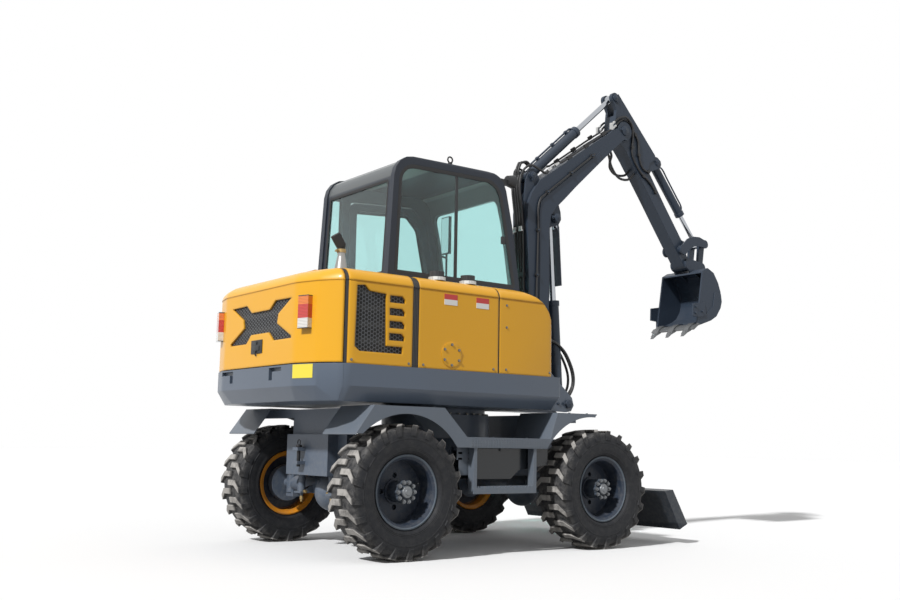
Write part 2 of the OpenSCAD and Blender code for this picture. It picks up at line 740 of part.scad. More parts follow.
function shrink(p, c, d) = [for (q = p) q + unit(c - q) * d];
right_window = rounded([
  [-490, 1896, 30], [-462, 2704, 135], [466, 2716, 170], [628, 1896, 30]
]);
quarter_window = rounded([[-485, 1932, 30], [-455, 2610, 60], [-355, 2610, 20], [-355, 1932, 20]]);
door_shape = rounded([
  [-300, 1290, 40], [-300, 2600, 50], [300, 2640, 60], [440, 2520, 120], [585, 1950, 150], [600, 1500, 60],
  [540, 1290, 40]
]);
door_window = rounded([
  [-230, 1780, 40], [-230, 2540, 40], [270, 2575, 60], [380, 2470, 120], [505, 1950, 100], [520, 1780, 40]
]);
rear_glass = rounded([
  [cab_right + 84, 1896, 30], [cab_right + 84, 2590, 30], [cab_left - 80, 2590, 30],
  [cab_left - 80, 1896, 30]
]);
front_glass = rounded([
  [cab_right + 84, 1330, 40], [cab_right + 84, 2590, 60], [cab_left - 84, 2590, 60],
  [cab_left - 84, 1330, 40]
]);
pane_gap = 0.5;
module side_cut(p, d, y0, y1) {
  c = [for (k = [0, 1]) (max([for (q = p) q[k]]) + min([for (q = p) q[k]])) / 2];
  across(y1 - y0, (y0 + y1) / 2) polygon(shrink(p, c, d));
}
module end_cut(p, d, x0, x1) {
  c = (p[0] + p[10]) / 2;
  translate([x0, 0, 0]) rotate([90, 0, 90]) linear_extrude(x1 - x0) polygon(shrink(p, c, d));
}
module rear_window(d) {
  end_cut(rear_glass, d, -900, -350);
}
module front_window(d) {
  end_cut(front_glass, d, 300, 900);
}
module cab_floor() {
  color("dimgray") intersection() {
    cab_volume(0);
    slab(-reach, reach, -reach, reach, 0, cab_floor_z);
  }
}
side_right = cab_right + cab_wall;
side_left = cab_left - cab_wall - cab_lean;
module cab_roof() {
  color("dimgray") intersection() {
    cab_shell(cab_inset);
    slab(-reach, reach, side_right + 0.2, side_left - 0.2, cab_roof_z, 2 * reach);
  }
}
wall_lo = cab_floor_z + 0.2;
wall_hi = cab_roof_z - 0.2;
module cab_ends() {
  color("dimgray") difference() {
    intersection() {
      cab_shell(cab_inset);
      slab(-reach, reach, side_right + 0.2, side_left - 0.2, wall_lo, wall_hi);
    }
    rear_window(0);
    front_window(0);
  }
}
door_hinge = [-303, cab_left + 13];
door_hinge_z = [1400, 1850];
module cab_sides() {
  color("dimgray") difference() {
    intersection() {
      cab_volume(0);
      union() {
        slab(-reach, reach, -reach, side_right, wall_lo, reach);
        slab(-reach, reach, side_left, reach, wall_lo, reach);
      }
    }
    side_cut(right_window, 0, -900, 0);
    side_cut(quarter_window, 0, 600, 1000);
    side_cut(door_shape, 0, 600, 1000);
  }
  // Hinge eyes of the door
  color("dimgray") for (z = door_hinge_z) translate([door_hinge.x, door_hinge.y, z - 15]) difference() {
    union() {
      cylinder(r = door_eye_r, h = 30);
      translate([-50, -14, 0]) cube([50, 10, 30]);
    }
    translate([0, 0, -1]) cylinder(r = door_hinge_r + run_gap, h = 32);
  }
}
module cab_glass() {
  color([0.6, 0.8, 0.75, 0.4]) {
    intersection() {
      cab_shell(8, 14);
      union() {
        side_cut(right_window, pane_gap, -900, 0);
        side_cut(quarter_window, pane_gap, 600, 1000);
      }
    }
    intersection() {
      cab_shell(cab_inset + 8, cab_inset + 14);
      union() {
        rear_window(pane_gap);
        front_window(pane_gap);
      }
    }
  }
}
module cab_door() {
  color("dimgray") {
    difference() {
      intersection() {
        cab_volume(0);
        slab(-reach, reach, side_left, reach, 0, reach);
        side_cut(door_shape, 10, 600, 1000);
      }
      side_cut(door_window, 0, 600, 1000);
    }
    // Hinge straps and pins
    for (z = door_hinge_z) translate([door_hinge.x, door_hinge.y, z]) {
      for (t = [-40, 15.3]) translate([0, 0, t]) {
        cylinder(r = door_eye_r, h = 24.7);
        translate([4, -13.1, 0]) cube([86, 9, 24.7]);
      }
      translate([0, 0, -40]) cylinder(r = door_hinge_r, h = 80);
    }
  }
}
module door_glass() {
  color([0.6, 0.8, 0.75, 0.4]) intersection() {
    cab_shell(8, 14);
    side_cut(door_window, pane_gap, 600, 1000);
  }
}
seat_y = (cab_right + cab_left) / 2;
module seat_base() {
  color("black") {
    slab(-330, 100, seat_y - 190, seat_y + 190, cab_floor_z + 0.2, 1500);
    slab(-400, -340, seat_y - 170, seat_y + 170, 1400, 1940);
  }
}
module seat_cushions() {
  color("black") {
    slab(-320, 180, seat_y - 240, seat_y + 240, 1500.3, 1600);
    slab(-339.7, -230, seat_y - 230, seat_y + 230, 1620, 1960);
  }
}
module controls() {
  color("dimgray") {
    for (s = [-1, 1]) {
      slab(-300, 200, seat_y + s * 320 - 60, seat_y + s * 320 + 60, cab_floor_z + 0.2, 1660);
      translate([150, seat_y + s * 320, 1659]) cylinder(r = 12, h = 120);
      translate([150, seat_y + s * 320, 1760]) cylinder(r = 22, h = 90);
    }
    slab(375, 485, seat_y - 55, seat_y + 55, cab_floor_z + 0.2, cab_floor_z + 60);
    translate([430, seat_y, cab_floor_z + 20]) rotate([0, -12, 0]) {
      cylinder(r = 45, h = 600);
      translate([0, 0, 600]) rotate_extrude() translate([175, 0]) circle(r = 14);
      translate([-180, -14, 586]) cube([360, 28, 20]);
    }
    for (y = [-60, 60]) slab(470, 560, seat_y + y - 35, seat_y + y + 35, cab_floor_z + 0.2, cab_floor_z + 90);
  }
}
module mirrors() {
  color("black") difference() {
    union() {
      for (z = [2010, 2290])
        translate([540, cab_left - 45, z]) rotate([0, 90, 26.5]) cylinder(r = 9, h = 235);
      translate([750, cab_left + 60, 2000]) cylinder(r = 9, h = 480);
      slab(738, 764, cab_left + 15, cab_left + 125, 2325, 2650);
    }
    cab_volume(-face_gap);
  }
}
module work_lamps() {
  color("black") difference() {
    for (y = [cab_right + 15, cab_left - 190]) {
      translate([545, y, cab_top - 45]) rotate([0, 90, 0]) cylinder(r1 = 40, r2 = 54, h = 62);
      slab(380, 560, y - 14, y + 14, cab_top - 85, cab_top - 40);
    }
    cab_volume(-face_gap);
  }
}

// Boom
fork_gap = 7;
module boom() {
  ear = 14;
  color("slategray") {
    difference() {
      union() {
        across(boom_w) polygon([
          [boom_foot.x - 70, boom_foot.y - 20], [818, 1900], [800, 2540], [808, 2610], [845, 2700],
          [935, 2820], [1143, 2962], [1368, 3122], [1600, 3280], [1860, 3448], [1935, 3430], [1935, 3370],
          [1731, 3194], [1482, 2968], [1311, 2812], [1199, 2703], [1112, 2623], [1055, 2550], [1035, 2460],
          [1035, 1930], [boom_foot.x + 70, boom_foot.y - 20]
        ]);
        bar_y(boom_foot, 75, boom_w);
        bar_y(stick_pin, 82, boom_w);
        // Side plates over the front half of the column
        across(boom_w + 12) polygon([
          [922, 1500], [1010, 1500], [1020, 1930], [1026, 2460], [1047, 2550], [1106, 2623], [1195, 2705],
          [1307, 2814], [1478, 2970], [1612, 3094], [1598, 3166], [1528, 3112], [1000, 2700], [936, 2640],
          [922, 2560]
        ]);
        // Ears of the boom cylinder and of the arm cylinder
        for (s = [-1, 1]) across(ear, s * 58) {
          polygon([
            [1000, 2440], [1060, 2462], [1150, 2480], [1180, 2530], [1175, 2590], [1150, 2660], [1100, 2700]
          ]);
          polygon([
            [780, 2600], [800, 2800], [840, 2900], [885, 2905], [925, 2860], [960, 2800], [900, 2700]
          ]);
        }
        for (s = [-1, 1]) {
          bar_y(boom_rod_pin, 40, 40, s * 70);
          bar_y(arm_cyl_foot, 34, 34, s * 62);
        }
      }
      bar_y(boom_foot, foot_pin_r + run_gap, boom_w + 20);
      // Slot of the tip fork and pocket behind the boom cylinder's eye
      intersection() {
        across(stick_w + 2 * fork_gap) circle_at(stick_pin, 390);
        across(stick_w + 2 * fork_gap) polygon([
          stick_pin + [-420, -420], stick_pin + [-330, 300], stick_pin + [300, 300], stick_pin + [300, -420]
        ]);
      }
      across(100) circle_at(boom_rod_pin, 105);
      across(90) circle_at(arm_cyl_foot, 62);
    }
    // Pins of the stick and of the arm cylinder
    bar_y(stick_pin, stick_pin_r, boom_w);
    bar_y(arm_cyl_foot, 20, 110);
  }
}
module circle_at(p, r) {
  translate(p) circle(r = r, $fn = 64);
}
function back_x(z) = 818 - (z - 1900) * 0.0281;
module boom_lines() {
  side = boom_w / 2 + 10.2;
  color("black") {
    // Hoses up the back of the column, in two clamps
    for (y = [-42, -14, 14, 42]) tube([
      [back_x(1640) - 14, y, 1640], [back_x(2000) - 14, y, 2000], [back_x(2440) - 14, y, 2440],
      [770, y, 2600], [752, y, 2740], [768, y, 2840]
    ], 11);
    for (z = [1680, 2020, 2400]) across(112) polygon([
      [back_x(z) - 27, z], [back_x(z) - 0.2, z], [back_x(z + 40) - 0.2, z + 40], [back_x(z + 40) - 27, z + 40]
    ]);
    // Pipes along both sides, held by round clamps
    for (s = [-1, 1]) {
      tube([[875, s * side, 1560], [890, s * side, 2000], [902, s * side, 2433], [898, s * side, 2560],
        [924, s * side, 2657], [1000, s * side, 2724], [1528, s * side, 3135]], 8);
      for (p = [[881, 1700], [891, 2040], [901, 2400], [1000, 2724], [1260, 2926], [1500, 3113]])
        bar_y(p, 17, 20, s * side);
    }
    // Pipes on the upper side, beside the arm cylinder
    for (s = [-1, 1]) {
      tube([[1180, s * 78, 3008], [1445, s * 78, 3192], [1618, s * 78, 3312], [1740, s * 78, 3393]], 8);
      for (x = [1250, 1440, 1640]) across(16, s * 78) {
        z = 2962 + (x - 1143) * 0.7112;
        polygon([[x, z + 0.3], [x + 40, z + 28.8], [x + 20, z + 52], [x - 20, z + 24]]);
      }
    }
  }
}
module boom_barrel() {
  color("slategray") barrel(boom_cyl_foot, boom_rod_pin, 830, 46, 25, 120, 44, 80, pin_r);
}
guard_w = 88;
guard_len = 540;
module boom_rod() {
  p = boom_rod_pin;
  d = (boom_cyl_foot - p) / norm(boom_cyl_foot - p);
  n = side_of(boom_rod_pin, boom_cyl_foot);
  color("silver") rod(boom_cyl_foot, boom_rod_pin, 660, 25, 40, 2 * (50 - face_gap));
  // Guard plate over the rod
  color("slategray") across(guard_w) polygon([
    p + d * 20 + n * 22, p + d * 120 + n * 58, p + d * guard_len + n * 58, p + d * guard_len + n * 66,
    p + d * 60 + n * 66, p - d * 10 + n * 39
  ]);
}
module arm_barrel() {
  color("slategray") barrel(arm_cyl_foot, arm_rod_pin, 727, 42, 23, 100, 38, 76, 20);
}
module arm_rod() {
  color("silver") rod(arm_cyl_foot, arm_rod_pin, 460, 23, 36, 60);
}
module stick() {
  color("slategray") {
    difference() {
      union() {
        across(stick_w) polygon([
          [1768, 3690], [1825, 3591], [1805, 3417], [1845, 3320], [1918, 3268], [1968, 3213], [2085, 3079],
          [2239, 2883], [2454, 2604], [2594, 2425], [2672, 2320], [2740, 2350], crank_pin + [45, 50],
          [2431, 2831], [2315, 2988], [2219, 3120], [2240, 3190], [2298, 3225], [2314, 3250], [2309, 3275],
          [1852, 3737]
        ]);
        bar_y(stick_pin, 95, stick_w + 2 * fork_gap - 4);
        bar_y(arm_rod_pin, 46, stick_w);
        bar_y(bucket_pin, 50, stick_w + 10);
        bar_y(crank_pin, 42, stick_w + 6);
        for (s = [-1, 1]) across(14, s * 52) polygon([
          [2110, 3430], [2300, 3268], [2350, 3262], [2388, 3235], [2395, 3205], [2380, 3170], [2240, 3110]
        ]);
        for (s = [-1, 1]) bar_y(bucket_cyl_foot, 30, 26, s * 52);
      }
      bar_y(stick_pin, stick_pin_r + run_gap, stick_w + 60);
      bar_y(bucket_pin, bucket_pin_r + run_gap, stick_w + 60);
      // Slots for the rod eye and for the bucket cylinder's foot
      across(70) difference() {
        circle_at(arm_rod_pin, 150);
        circle_at(stick_pin, 150);
      }
      across(90) circle_at(bucket_cyl_foot, 70);
    }
    bar_y(bucket_cyl_foot, 18, stick_w - 6);
  }
}
module stick_lines() {
  y = stick_w / 2 + 9.2;
  color("black") for (s = [-1, 1]) {
    tube([
      [2012, s * y, 3452], [2083, s * y, 3357], [2091, s * y, 3227], [2136, s * y, 3125], [2220, s * y, 3104]
    ], 9);
    tube([
      [2012, s * y, 3330], [2010, s * y, 3212], [2108, s * y, 3085], [2219, s * y, 3020], [2312, s * y, 2925]
    ], 9);
    for (p = [[2050, 3408], [2092, 3235], [2212, 3106], [2011, 3290], [2150, 3057], [2300, 2938]])
      bar_y(p, 16, 18, s * y);
  }
}
module bucket_barrel() {
  color("slategray") barrel(bucket_cyl_foot, link_top_pin, 550, 38, 20, 80, 34, 68, 18);
}
module bucket_rod() {
  color("silver") rod(bucket_cyl_foot, link_top_pin, 255, 20, 32, 68);
}
crank_y = stick_w / 2 + 36;
crank_t = 14;
link_out = 67;
link_t = 26;
ear_in = stick_w / 2 + 7;
module bell_crank() {
  b = crank_pin;
  c = link_top_pin;
  n = side_of(b, c);
  inner = crank_y - crank_t / 2;
  hub = stick_w / 2 + 3 + face_gap;
  color("slategray") for (s = [-1, 1]) {
    across(crank_t, s * crank_y) union() {
      circle_at(b, 46);
      circle_at(c, 38);
      polygon([
        b + n * 46, b + (c - b) * 0.25 + n * 84, (b + c) / 2 + n * 94, c + (b - c) * 0.2 + n * 74, c + n * 38,
        c - n * 38, c + (b - c) * 0.25 - n * 8, (b + c) / 2 + n * 6, b + (c - b) * 0.25 - n * 14, b - n * 46
      ]);
    }
    bar_y(b, 38, inner - hub + 0.1, s * (inner + hub) / 2);
    bar_y(c, 22, inner - link_out - 0.5, s * (inner + link_out + 0.5) / 2);
  }
}
module bucket_link() {
  a = link_top_pin;
  b = link_low_pin;
  color("slategray") {
    for (s = [-1, 1]) across(link_t, s * (link_out - link_t / 2)) union() {
      circle_at(a, 36);
      circle_at(b, 36);
      polygon([a + [36, 0], a - [36, 0], b - [30, 0], b + [30, 0]]);
    }
    bar_y(b, 34, 2 * (ear_in - face_gap));
  }
}
bucket_profile = [
  [2722, 2262], [2790, 2298], [2872, 2262], [2930, 2180], [2962, 2100], [2973, 2012], [2955, 1950],
  [2900, 1875], [2825, 1832], [2636, 1768]
];
module bucket() {
  c = [2790, 2040];
  teeth_y = [-0.37 * bucket_w, 0, 0.37 * bucket_w];
  color("slategray") {
    difference() {
      across(bucket_w) polygon(bucket_profile);
      across(bucket_w - 2 * bucket_t)
        polygon(concat([[2600, 2240]], shrink(bucket_profile, c, bucket_t), [[2560, 1790]]));
    }
    // Ears
    for (s = [-1, 1]) across(18, s * (ear_in + 9)) union() {
      circle_at(bucket_pin, 52);
      circle_at(link_low_pin, 46);
      polygon([
        bucket_pin + [-45, -10], bucket_pin + [0, 50], link_low_pin + [10, 44], link_low_pin + [46, 0],
        [2940, 2180], [2790, 2270], [2740, 2262]
      ]);
    }
    bar_y(bucket_pin, bucket_pin_r, 2 * ear_in + 26);
    // Cutting edge with its tooth adapters
    across(bucket_w + 8) polygon([[2640, 1768], [2660, 1792], [2600, 1768], [2572, 1738], [2590, 1732]]);
    for (y = teeth_y) {
      across(56, y) polygon([
        [2526, 1694], [2575, 1762], [2640, 1802], [2700, 1806], [2650, 1762], [2590, 1725]
      ]);
      across(36, y) polygon([[2508, 1672], [2540, 1722], [2580, 1740], [2590, 1728]]);
    }
    // Side cutters and wear plates
    for (s = [-1, 1]) {
      across(14, s * (bucket_w / 2 + 7)) polygon([
        [2570, 1850], [2575, 1960], [2720, 1985], [2745, 1870], [2640, 1845]
      ]);
      across(6, s * (bucket_w / 2 + 3)) polygon([
        [2640, 1772], [2640, 1850], [2745, 1875], [2850, 1960], [2880, 2090], [2960, 2080], [2970, 2012],
        [2952, 1953], [2898, 1880], [2824, 1838]
      ]);
    }
  }
}

chassis_frame();
fenders();
steps();
front_axle();
rear_axle();
steering_rod();
knuckle(-1);  // knuckle_right
knuckle(1);  // knuckle_left
tyre(wheel_x, -1);  // tyre_front_right
tyre(wheel_x, 1);  // tyre_front_left
tyre(-wheel_x, -1);  // tyre_rear_right
tyre(-wheel_x, 1);  // tyre_rear_left
rim(wheel_x, -1);  // rim_front_right
rim(wheel_x, 1);  // rim_front_left
rim(-wheel_x, -1);  // rim_rear_right
rim(-wheel_x, 1);  // rim_rear_left
blade();
blade_barrel();
blade_rod();
upper_frame();
counterweight();
engine();
side_panels();
hood_top();
seals();
side_grille();
filler_caps();
exhaust();
cab_floor();
cab_ends();
cab_sides();
cab_roof();
cab_glass();
seat_base();
seat_cushions();
controls();
mirrors();
work_lamps();
rear_lid();
lid_grille();
tail_lamps();
cab_door();
door_glass();
boom();
boom_lines();
boom_barrel();
boom_rod();
arm_barrel();
arm_rod();
stick();
stick_lines();
bucket_barrel();
bucket_rod();
bell_crank();
bucket_link();
bucket();
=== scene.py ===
import math

import bmesh
import bpy
from mathutils import Matrix, Vector


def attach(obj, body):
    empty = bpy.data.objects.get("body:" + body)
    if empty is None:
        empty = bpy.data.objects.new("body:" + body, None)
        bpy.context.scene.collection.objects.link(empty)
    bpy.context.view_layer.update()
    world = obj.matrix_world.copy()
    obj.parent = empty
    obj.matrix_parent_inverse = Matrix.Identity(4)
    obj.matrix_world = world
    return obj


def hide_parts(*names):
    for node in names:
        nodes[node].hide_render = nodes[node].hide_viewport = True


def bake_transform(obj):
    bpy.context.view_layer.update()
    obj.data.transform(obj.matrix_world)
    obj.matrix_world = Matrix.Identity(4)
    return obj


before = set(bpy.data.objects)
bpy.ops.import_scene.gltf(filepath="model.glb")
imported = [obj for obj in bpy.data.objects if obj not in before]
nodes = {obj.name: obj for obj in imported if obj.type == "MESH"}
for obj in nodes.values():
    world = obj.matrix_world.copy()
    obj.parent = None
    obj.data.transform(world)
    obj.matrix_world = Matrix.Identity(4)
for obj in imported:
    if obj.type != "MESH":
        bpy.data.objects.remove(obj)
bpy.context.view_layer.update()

# Main places in metres, as in the CAD: wheels, pins of the boom, stick and cylinders as
# (x, z), and the cab's window planes. In loops over both sides, s is -1 on the right. An
# edge is sharp from an angle of sharp_edge, in radians.
wheel_x, wheel_z = 0.84, 0.4155
hub_face = 0.864
boom_foot = (0.930, 1.300)
boom_tip = (1.903, 3.413)
boom_cylinder_foot = (1.205, 1.040)
boom_cylinder_head = (1.110, 2.530)
arm_cylinder_foot = (0.862, 2.845)
arm_cylinder_head = (1.812, 3.694)
bucket_cylinder_foot = (2.345, 3.215)
bucket_cylinder_head = (2.919, 2.547)
right_window_y, left_window_y, rear_window_x = -0.150, 0.845, -0.533
window_sill = 1.9
sharp_edge = 0.6


class Value:
    """A socket of a node graph, with arithmetic."""

    def __init__(self, graph, socket):
        self.graph = graph
        self.socket = socket

    def math(self, operation, other=None):
        node = self.graph.tree.nodes.new("ShaderNodeMath")
        node.operation = operation
        self.graph.put(node.inputs[0], self)
        if other is not None:
            self.graph.put(node.inputs[1], other)
        return Value(self.graph, node.outputs[0])

    def __add__(self, other):
        return self.math("ADD", other)

    def __sub__(self, other):
        return self.math("SUBTRACT", other)

    def __rsub__(self, other):
        return self * -1.0 + other

    def __mul__(self, other):
        return self.math("MULTIPLY", other)

    __radd__ = __add__
    __rmul__ = __mul__

    def size(self):
        return self.math("ABSOLUTE")

    def wave(self, pitch):
        """From -1 to 1 and back once in each pitch."""
        return (self * (math.tau / pitch)).math("SINE")

    def clip(self, low, high):
        """0 at low, 1 at high, held there."""
        return ((self - low) * (1.0 / (high - low))).math("MAXIMUM", 0.0).math("MINIMUM", 1.0)


class Graph:
    """The node tree of a material or of the world."""

    def __init__(self, tree):
        self.tree = tree

    def put(self, socket, item):
        if isinstance(item, Value):
            self.tree.links.new(item.socket, socket)
        else:
            socket.default_value = item

    def node(self, kind, settings=None, inputs=None, output=0):
        node = self.tree.nodes.new("ShaderNode" + kind)
        for key, value in (settings or {}).items():
            setattr(node, key, value)
        for key, value in (inputs or {}).items():
            self.put(node.inputs[key], value)
        return Value(self, node.outputs[output])

    def seen(self):
        """1 where the camera sees it, also through glass or mirrored, and 0 for soft light."""
        rays = (self.node("LightPath", output=f"Is {ray} Ray")
                for ray in ("Camera", "Glossy", "Transmission"))
        return sum(rays, start=0.0).math("MINIMUM", 1.0)


class Shader(Graph):
    """A material with one Principled shader, built node by node."""

    def __init__(self, name, base, rough=0.5, metal=0.0, coat=0.0, **fixed):
        self.material = bpy.data.materials.new(name)
        self.material.use_nodes = True
        super().__init__(self.material.node_tree)
        self.bsdf = self.tree.nodes["Principled BSDF"]
        self.base = base
        self.drive(base_color=(*base, 1.0), roughness=rough, metallic=metal, coat_weight=coat, **fixed)

    def drive(self, **links):
        """Sets inputs of the Principled shader: base_color is its Base Color, and so on."""
        for key, value in links.items():
            title = key.replace("_", " ").title().replace("Ior", "IOR")
            self.put(self.bsdf.inputs[title], value)

    def fed(self, title):
        """What feeds an input of the Principled shader so far."""
        return Value(self, self.bsdf.inputs[title].links[0].from_socket)

    def grain(self, scale, spread, least):
        """Roughness that wanders over the surface, by spread above least."""
        self.drive(roughness=self.noise(scale) * spread + least)
        return self

    def where(self):
        """The place on the surface, in the piece's own frame."""
        return self.node("TexCoord", output="Object")

    def axes(self, vector=None):
        """The parts along x, y and z of a vector, or else of the place on the surface."""
        split = self.node("SeparateXYZ", inputs={0: vector or self.where()})
        return [Value(self, socket) for socket in split.socket.node.outputs]

    def wheel_axes(self):
        """Distance from the nearest axle line, and from the machine's middle plane."""
        x, y, z = self.axes()
        along, above = x.size() - wheel_x, z - wheel_z
        return (along * along + above * above).math("SQRT"), y.size()

    def up(self):
        """How far the surface faces up, from -1 to 1, in the piece's own frame."""
        return self.axes(self.node("TexCoord", output="Normal"))[2]

    def noise(self, scale, detail=3.0, rough=0.55, stretch=(1, 1, 1)):
        place = self.node("Mapping", inputs={"Vector": self.where(), "Scale": stretch})
        return self.node("TexNoise", inputs={
            "Vector": place, "Scale": scale, "Detail": detail, "Roughness": rough})

    def mix(self, share, first, second):
        """The first colour at a share of 0, the second at 1."""
        colours = [c if isinstance(c, Value) else (*c, 1.0) for c in (first, second)]
        return self.node("Mix", {"data_type": "RGBA"}, {0: share, 6: colours[0], 7: colours[1]}, 2)

    def bump(self, height, depth, edge=0.0, strength=1.0):
        """A normal from a height of up to depth metres, with edges rounded by edge metres."""
        inputs = {"Height": height, "Distance": depth, "Strength": strength}
        if edge:
            inputs["Normal"] = self.node("Bevel", {"samples": 4}, {"Radius": edge})
        return self.node("Bump", inputs=inputs)

    def paint(self, dust=0.3, dust_colour=(0.36, 0.33, 0.29), edge=0.004, rough=0.4, fade=0.25):
        """Sprayed paint: a little orange peel, dull patches, and dust where it can lie."""
        patches = self.noise(2.3, 6.0, 0.6)
        specks = self.noise(34.0, 4.0, 0.65)
        height = self.axes()[2]
        lying = self.up().clip(0.1, 0.95) * patches.clip(0.3, 0.62)
        low = height.clip(1.0, 0.1) * specks.clip(0.42, 0.75)
        share = (lying + low).math("MINIMUM", 1.0) * dust
        dull = tuple(c * (1.0 - fade) + 0.10 * fade for c in self.base)
        colour = self.mix(patches.clip(0.35, 0.75) * 0.6, self.base, dull)
        self.drive(
            base_color=self.mix(share, colour, dust_colour),
            roughness=share * 0.45 + patches * 0.14 + (rough - 0.07),
            normal=self.bump(self.noise(420.0, 2.0), 0.0004, edge, 0.35))
        return self

    def wear(self, *names):
        """Gives each named node this material."""
        for name in names:
            nodes[name].data.materials.clear()
            nodes[name].data.materials.append(self.material)
        return self


class Piece:
    """One mesh of simple turned, pressed or moulded forms, on one body."""

    def __init__(self, name):
        self.name = name
        self.mesh = bmesh.new()

    def soften(self, verts, soft):
        """Bevels the sharp edges round the verts."""
        edges = {e for v in verts for e in v.link_edges
                 if len(e.link_faces) == 2 and e.calc_face_angle(0.0) > sharp_edge}
        bmesh.ops.bevel(self.mesh, geom=list(edges), offset=soft, affect="EDGES", segments=2,
                        profile=0.5, material=-1)

    def bar(self, a, b, radius, sides=24, end=None, soft=0.0):
        """A round or many-sided bar from a to b, tapered where end is given."""
        a, b = Vector(a), Vector(b)
        turn = (b - a).to_track_quat("Z", "Y").to_matrix().to_4x4()
        made = bmesh.ops.create_cone(
            self.mesh, cap_ends=True, segments=sides, radius1=radius,
            radius2=radius if end is None else end, depth=(b - a).length,
            matrix=Matrix.Translation((a + b) / 2) @ turn)
        if soft:
            self.soften(made["verts"], soft)
        return self

    def bolt(self, place, out, across=0.019, tall=0.010):
        """A hexagon head on its washer, standing out of a face along out."""
        place, out = Vector(place), Vector(out).normalized()
        self.bar(place, place + out * 0.002, across * 0.66, 16)
        return self.bar(place + out * 0.002, place + out * tall, across * 0.56, 6, soft=0.0008)

    def block(self, low, high, soft=0.0, turn=None):
        """A box between two corners, turned about its middle by turn."""
        low, high = Vector(low), Vector(high)
        size = Matrix.Diagonal((*(high - low), 1.0))
        made = bmesh.ops.create_cube(
            self.mesh, size=1.0,
            matrix=Matrix.Translation((low + high) / 2) @ (turn or Matrix()) @ size)
        if soft:
            self.soften(made["verts"], soft)
        return self

    def pipe(self, points, radius, sides=12, steps=6):
        """A hose or tube on a smooth path through the points."""
        p = [Vector(q) for q in points]
        path = []
        for i in range(len(p) - 1):
            a, b, c, d = p[max(i - 1, 0)], p[i], p[i + 1], p[min(i + 2, len(p) - 1)]
            for u in (k / steps for k in range(steps)):
                path.append(0.5 * (2 * b + (c - a) * u + (2 * a - 5 * b + 4 * c - d) * u ** 2
                                   + (3 * b - a - 3 * c + d) * u ** 3))
        path.append(p[-1])
        side = (path[1] - path[0]).orthogonal().normalized()
        rings = []
        for i, at in enumerate(path):
            along = (path[min(i + 1, len(path) - 1)] - path[max(i - 1, 0)]).normalized()
            side = (side - along * side.dot(along)).normalized()
            other = along.cross(side)
            rings.append([self.mesh.verts.new(
                at + radius * (side * math.cos(a) + other * math.sin(a)))
                for a in (math.tau * k / sides for k in range(sides))])
        for first, second in zip(rings, rings[1:]):
            for k in range(sides):
                m = (k + 1) % sides
                self.mesh.faces.new((first[k], first[m], second[m], second[k]))
        self.mesh.faces.new(rings[0][::-1])
        self.mesh.faces.new(rings[-1])
        return self

    def lathe(self, profile, centre, axis, sides=32):
        """Turned form from points [radius, distance along the axis]."""
        centre, axis = Vector(centre), Vector(axis).normalized()
        side = axis.orthogonal().normalized()
        made = [self.mesh.verts.new(centre + side * r + axis * d) for r, d in profile]
        made += [self.mesh.edges.new(pair) for pair in zip(made, made[1:])]
        bmesh.ops.spin(self.mesh, geom=made, cent=centre, axis=axis, angle=math.tau,
                       steps=sides, use_merge=True)
        return self

    def done(self, body, shader):
        """Makes the object, smooth up to a sharp edge, and lets it ride on its body."""
        bmesh.ops.remove_doubles(self.mesh, verts=self.mesh.verts, dist=0.000002)
        bmesh.ops.recalc_face_normals(self.mesh, faces=self.mesh.faces)
        mesh = bpy.data.meshes.new(self.name)
        self.mesh.to_mesh(mesh)
        self.mesh.free()
        mesh.polygons.foreach_set("use_smooth", [True] * len(mesh.polygons))
        mesh.set_sharp_from_angle(angle=sharp_edge)
        mesh.materials.append(shader.material)
        piece = bpy.data.objects.new(self.name, mesh)
        bpy.context.scene.collection.objects.link(piece)
        if body:
            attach(piece, body)
        return piece


def seat_of(node, origin, way):
    """Where a line from origin along way first meets a node, and the surface's normal."""
    found, place, normal, _ = nodes[node].ray_cast(Vector(origin), Vector(way).normalized())
    if not found:
        raise ValueError(f"nothing of {node} lies on the line from {origin}")
    return place, normal


def around(count, radius, start=0.0):
    """Places on a circle, evenly spaced, the first one start steps round."""
    angles = (math.tau * (k + start) / count for k in range(count))
    return [(radius * math.cos(angle), radius * math.sin(angle)) for angle in angles]


def closed_ring(radius):
    """Points round a circle and back to the first, for a pipe bent to a ring."""
    points = around(12, radius)
    return points + points[:1]


def mirrored(s, points):
    """A left-hand route on the side s."""
    return [(x, s * y, z) for x, y, z in points]


def beside(foot, head):
    """Gives a function for places beside a cylinder that runs from its foot pin to its head."""
    start = Vector((foot[0], 0, foot[1]))
    way = (Vector((head[0], 0, head[1])) - start).normalized()
    normal = Vector((-way.z, 0, way.x))

    def place(along, out, y=0.0):
        return start + Vector((0, y, 0)) + way * along + normal * out

    return place


# Camera: low behind the rear right corner, looking slightly up along the machine.
yaw, pitch, roll = (math.radians(a) for a in (36.86, 7.84, 0.99))
view = Vector((math.sin(yaw) * math.cos(pitch), math.cos(yaw) * math.cos(pitch), math.sin(pitch)))
level = Vector((math.cos(yaw), -math.sin(yaw), 0))
right = level * math.cos(roll) + level.cross(view) * math.sin(roll)
up = level.cross(view) * math.cos(roll) - level * math.sin(roll)
camera = bpy.data.objects.new("camera", bpy.data.cameras.new("camera"))
camera.data.sensor_width = 36
camera.data.lens = 41.96
camera.matrix_world = Matrix((right, up, -view)).transposed().to_4x4()
camera.location = (-4.539, -6.209, 0.708)
bpy.context.scene.collection.objects.link(camera)
bpy.context.scene.camera = camera
bpy.context.scene.view_settings.view_transform = "Standard"


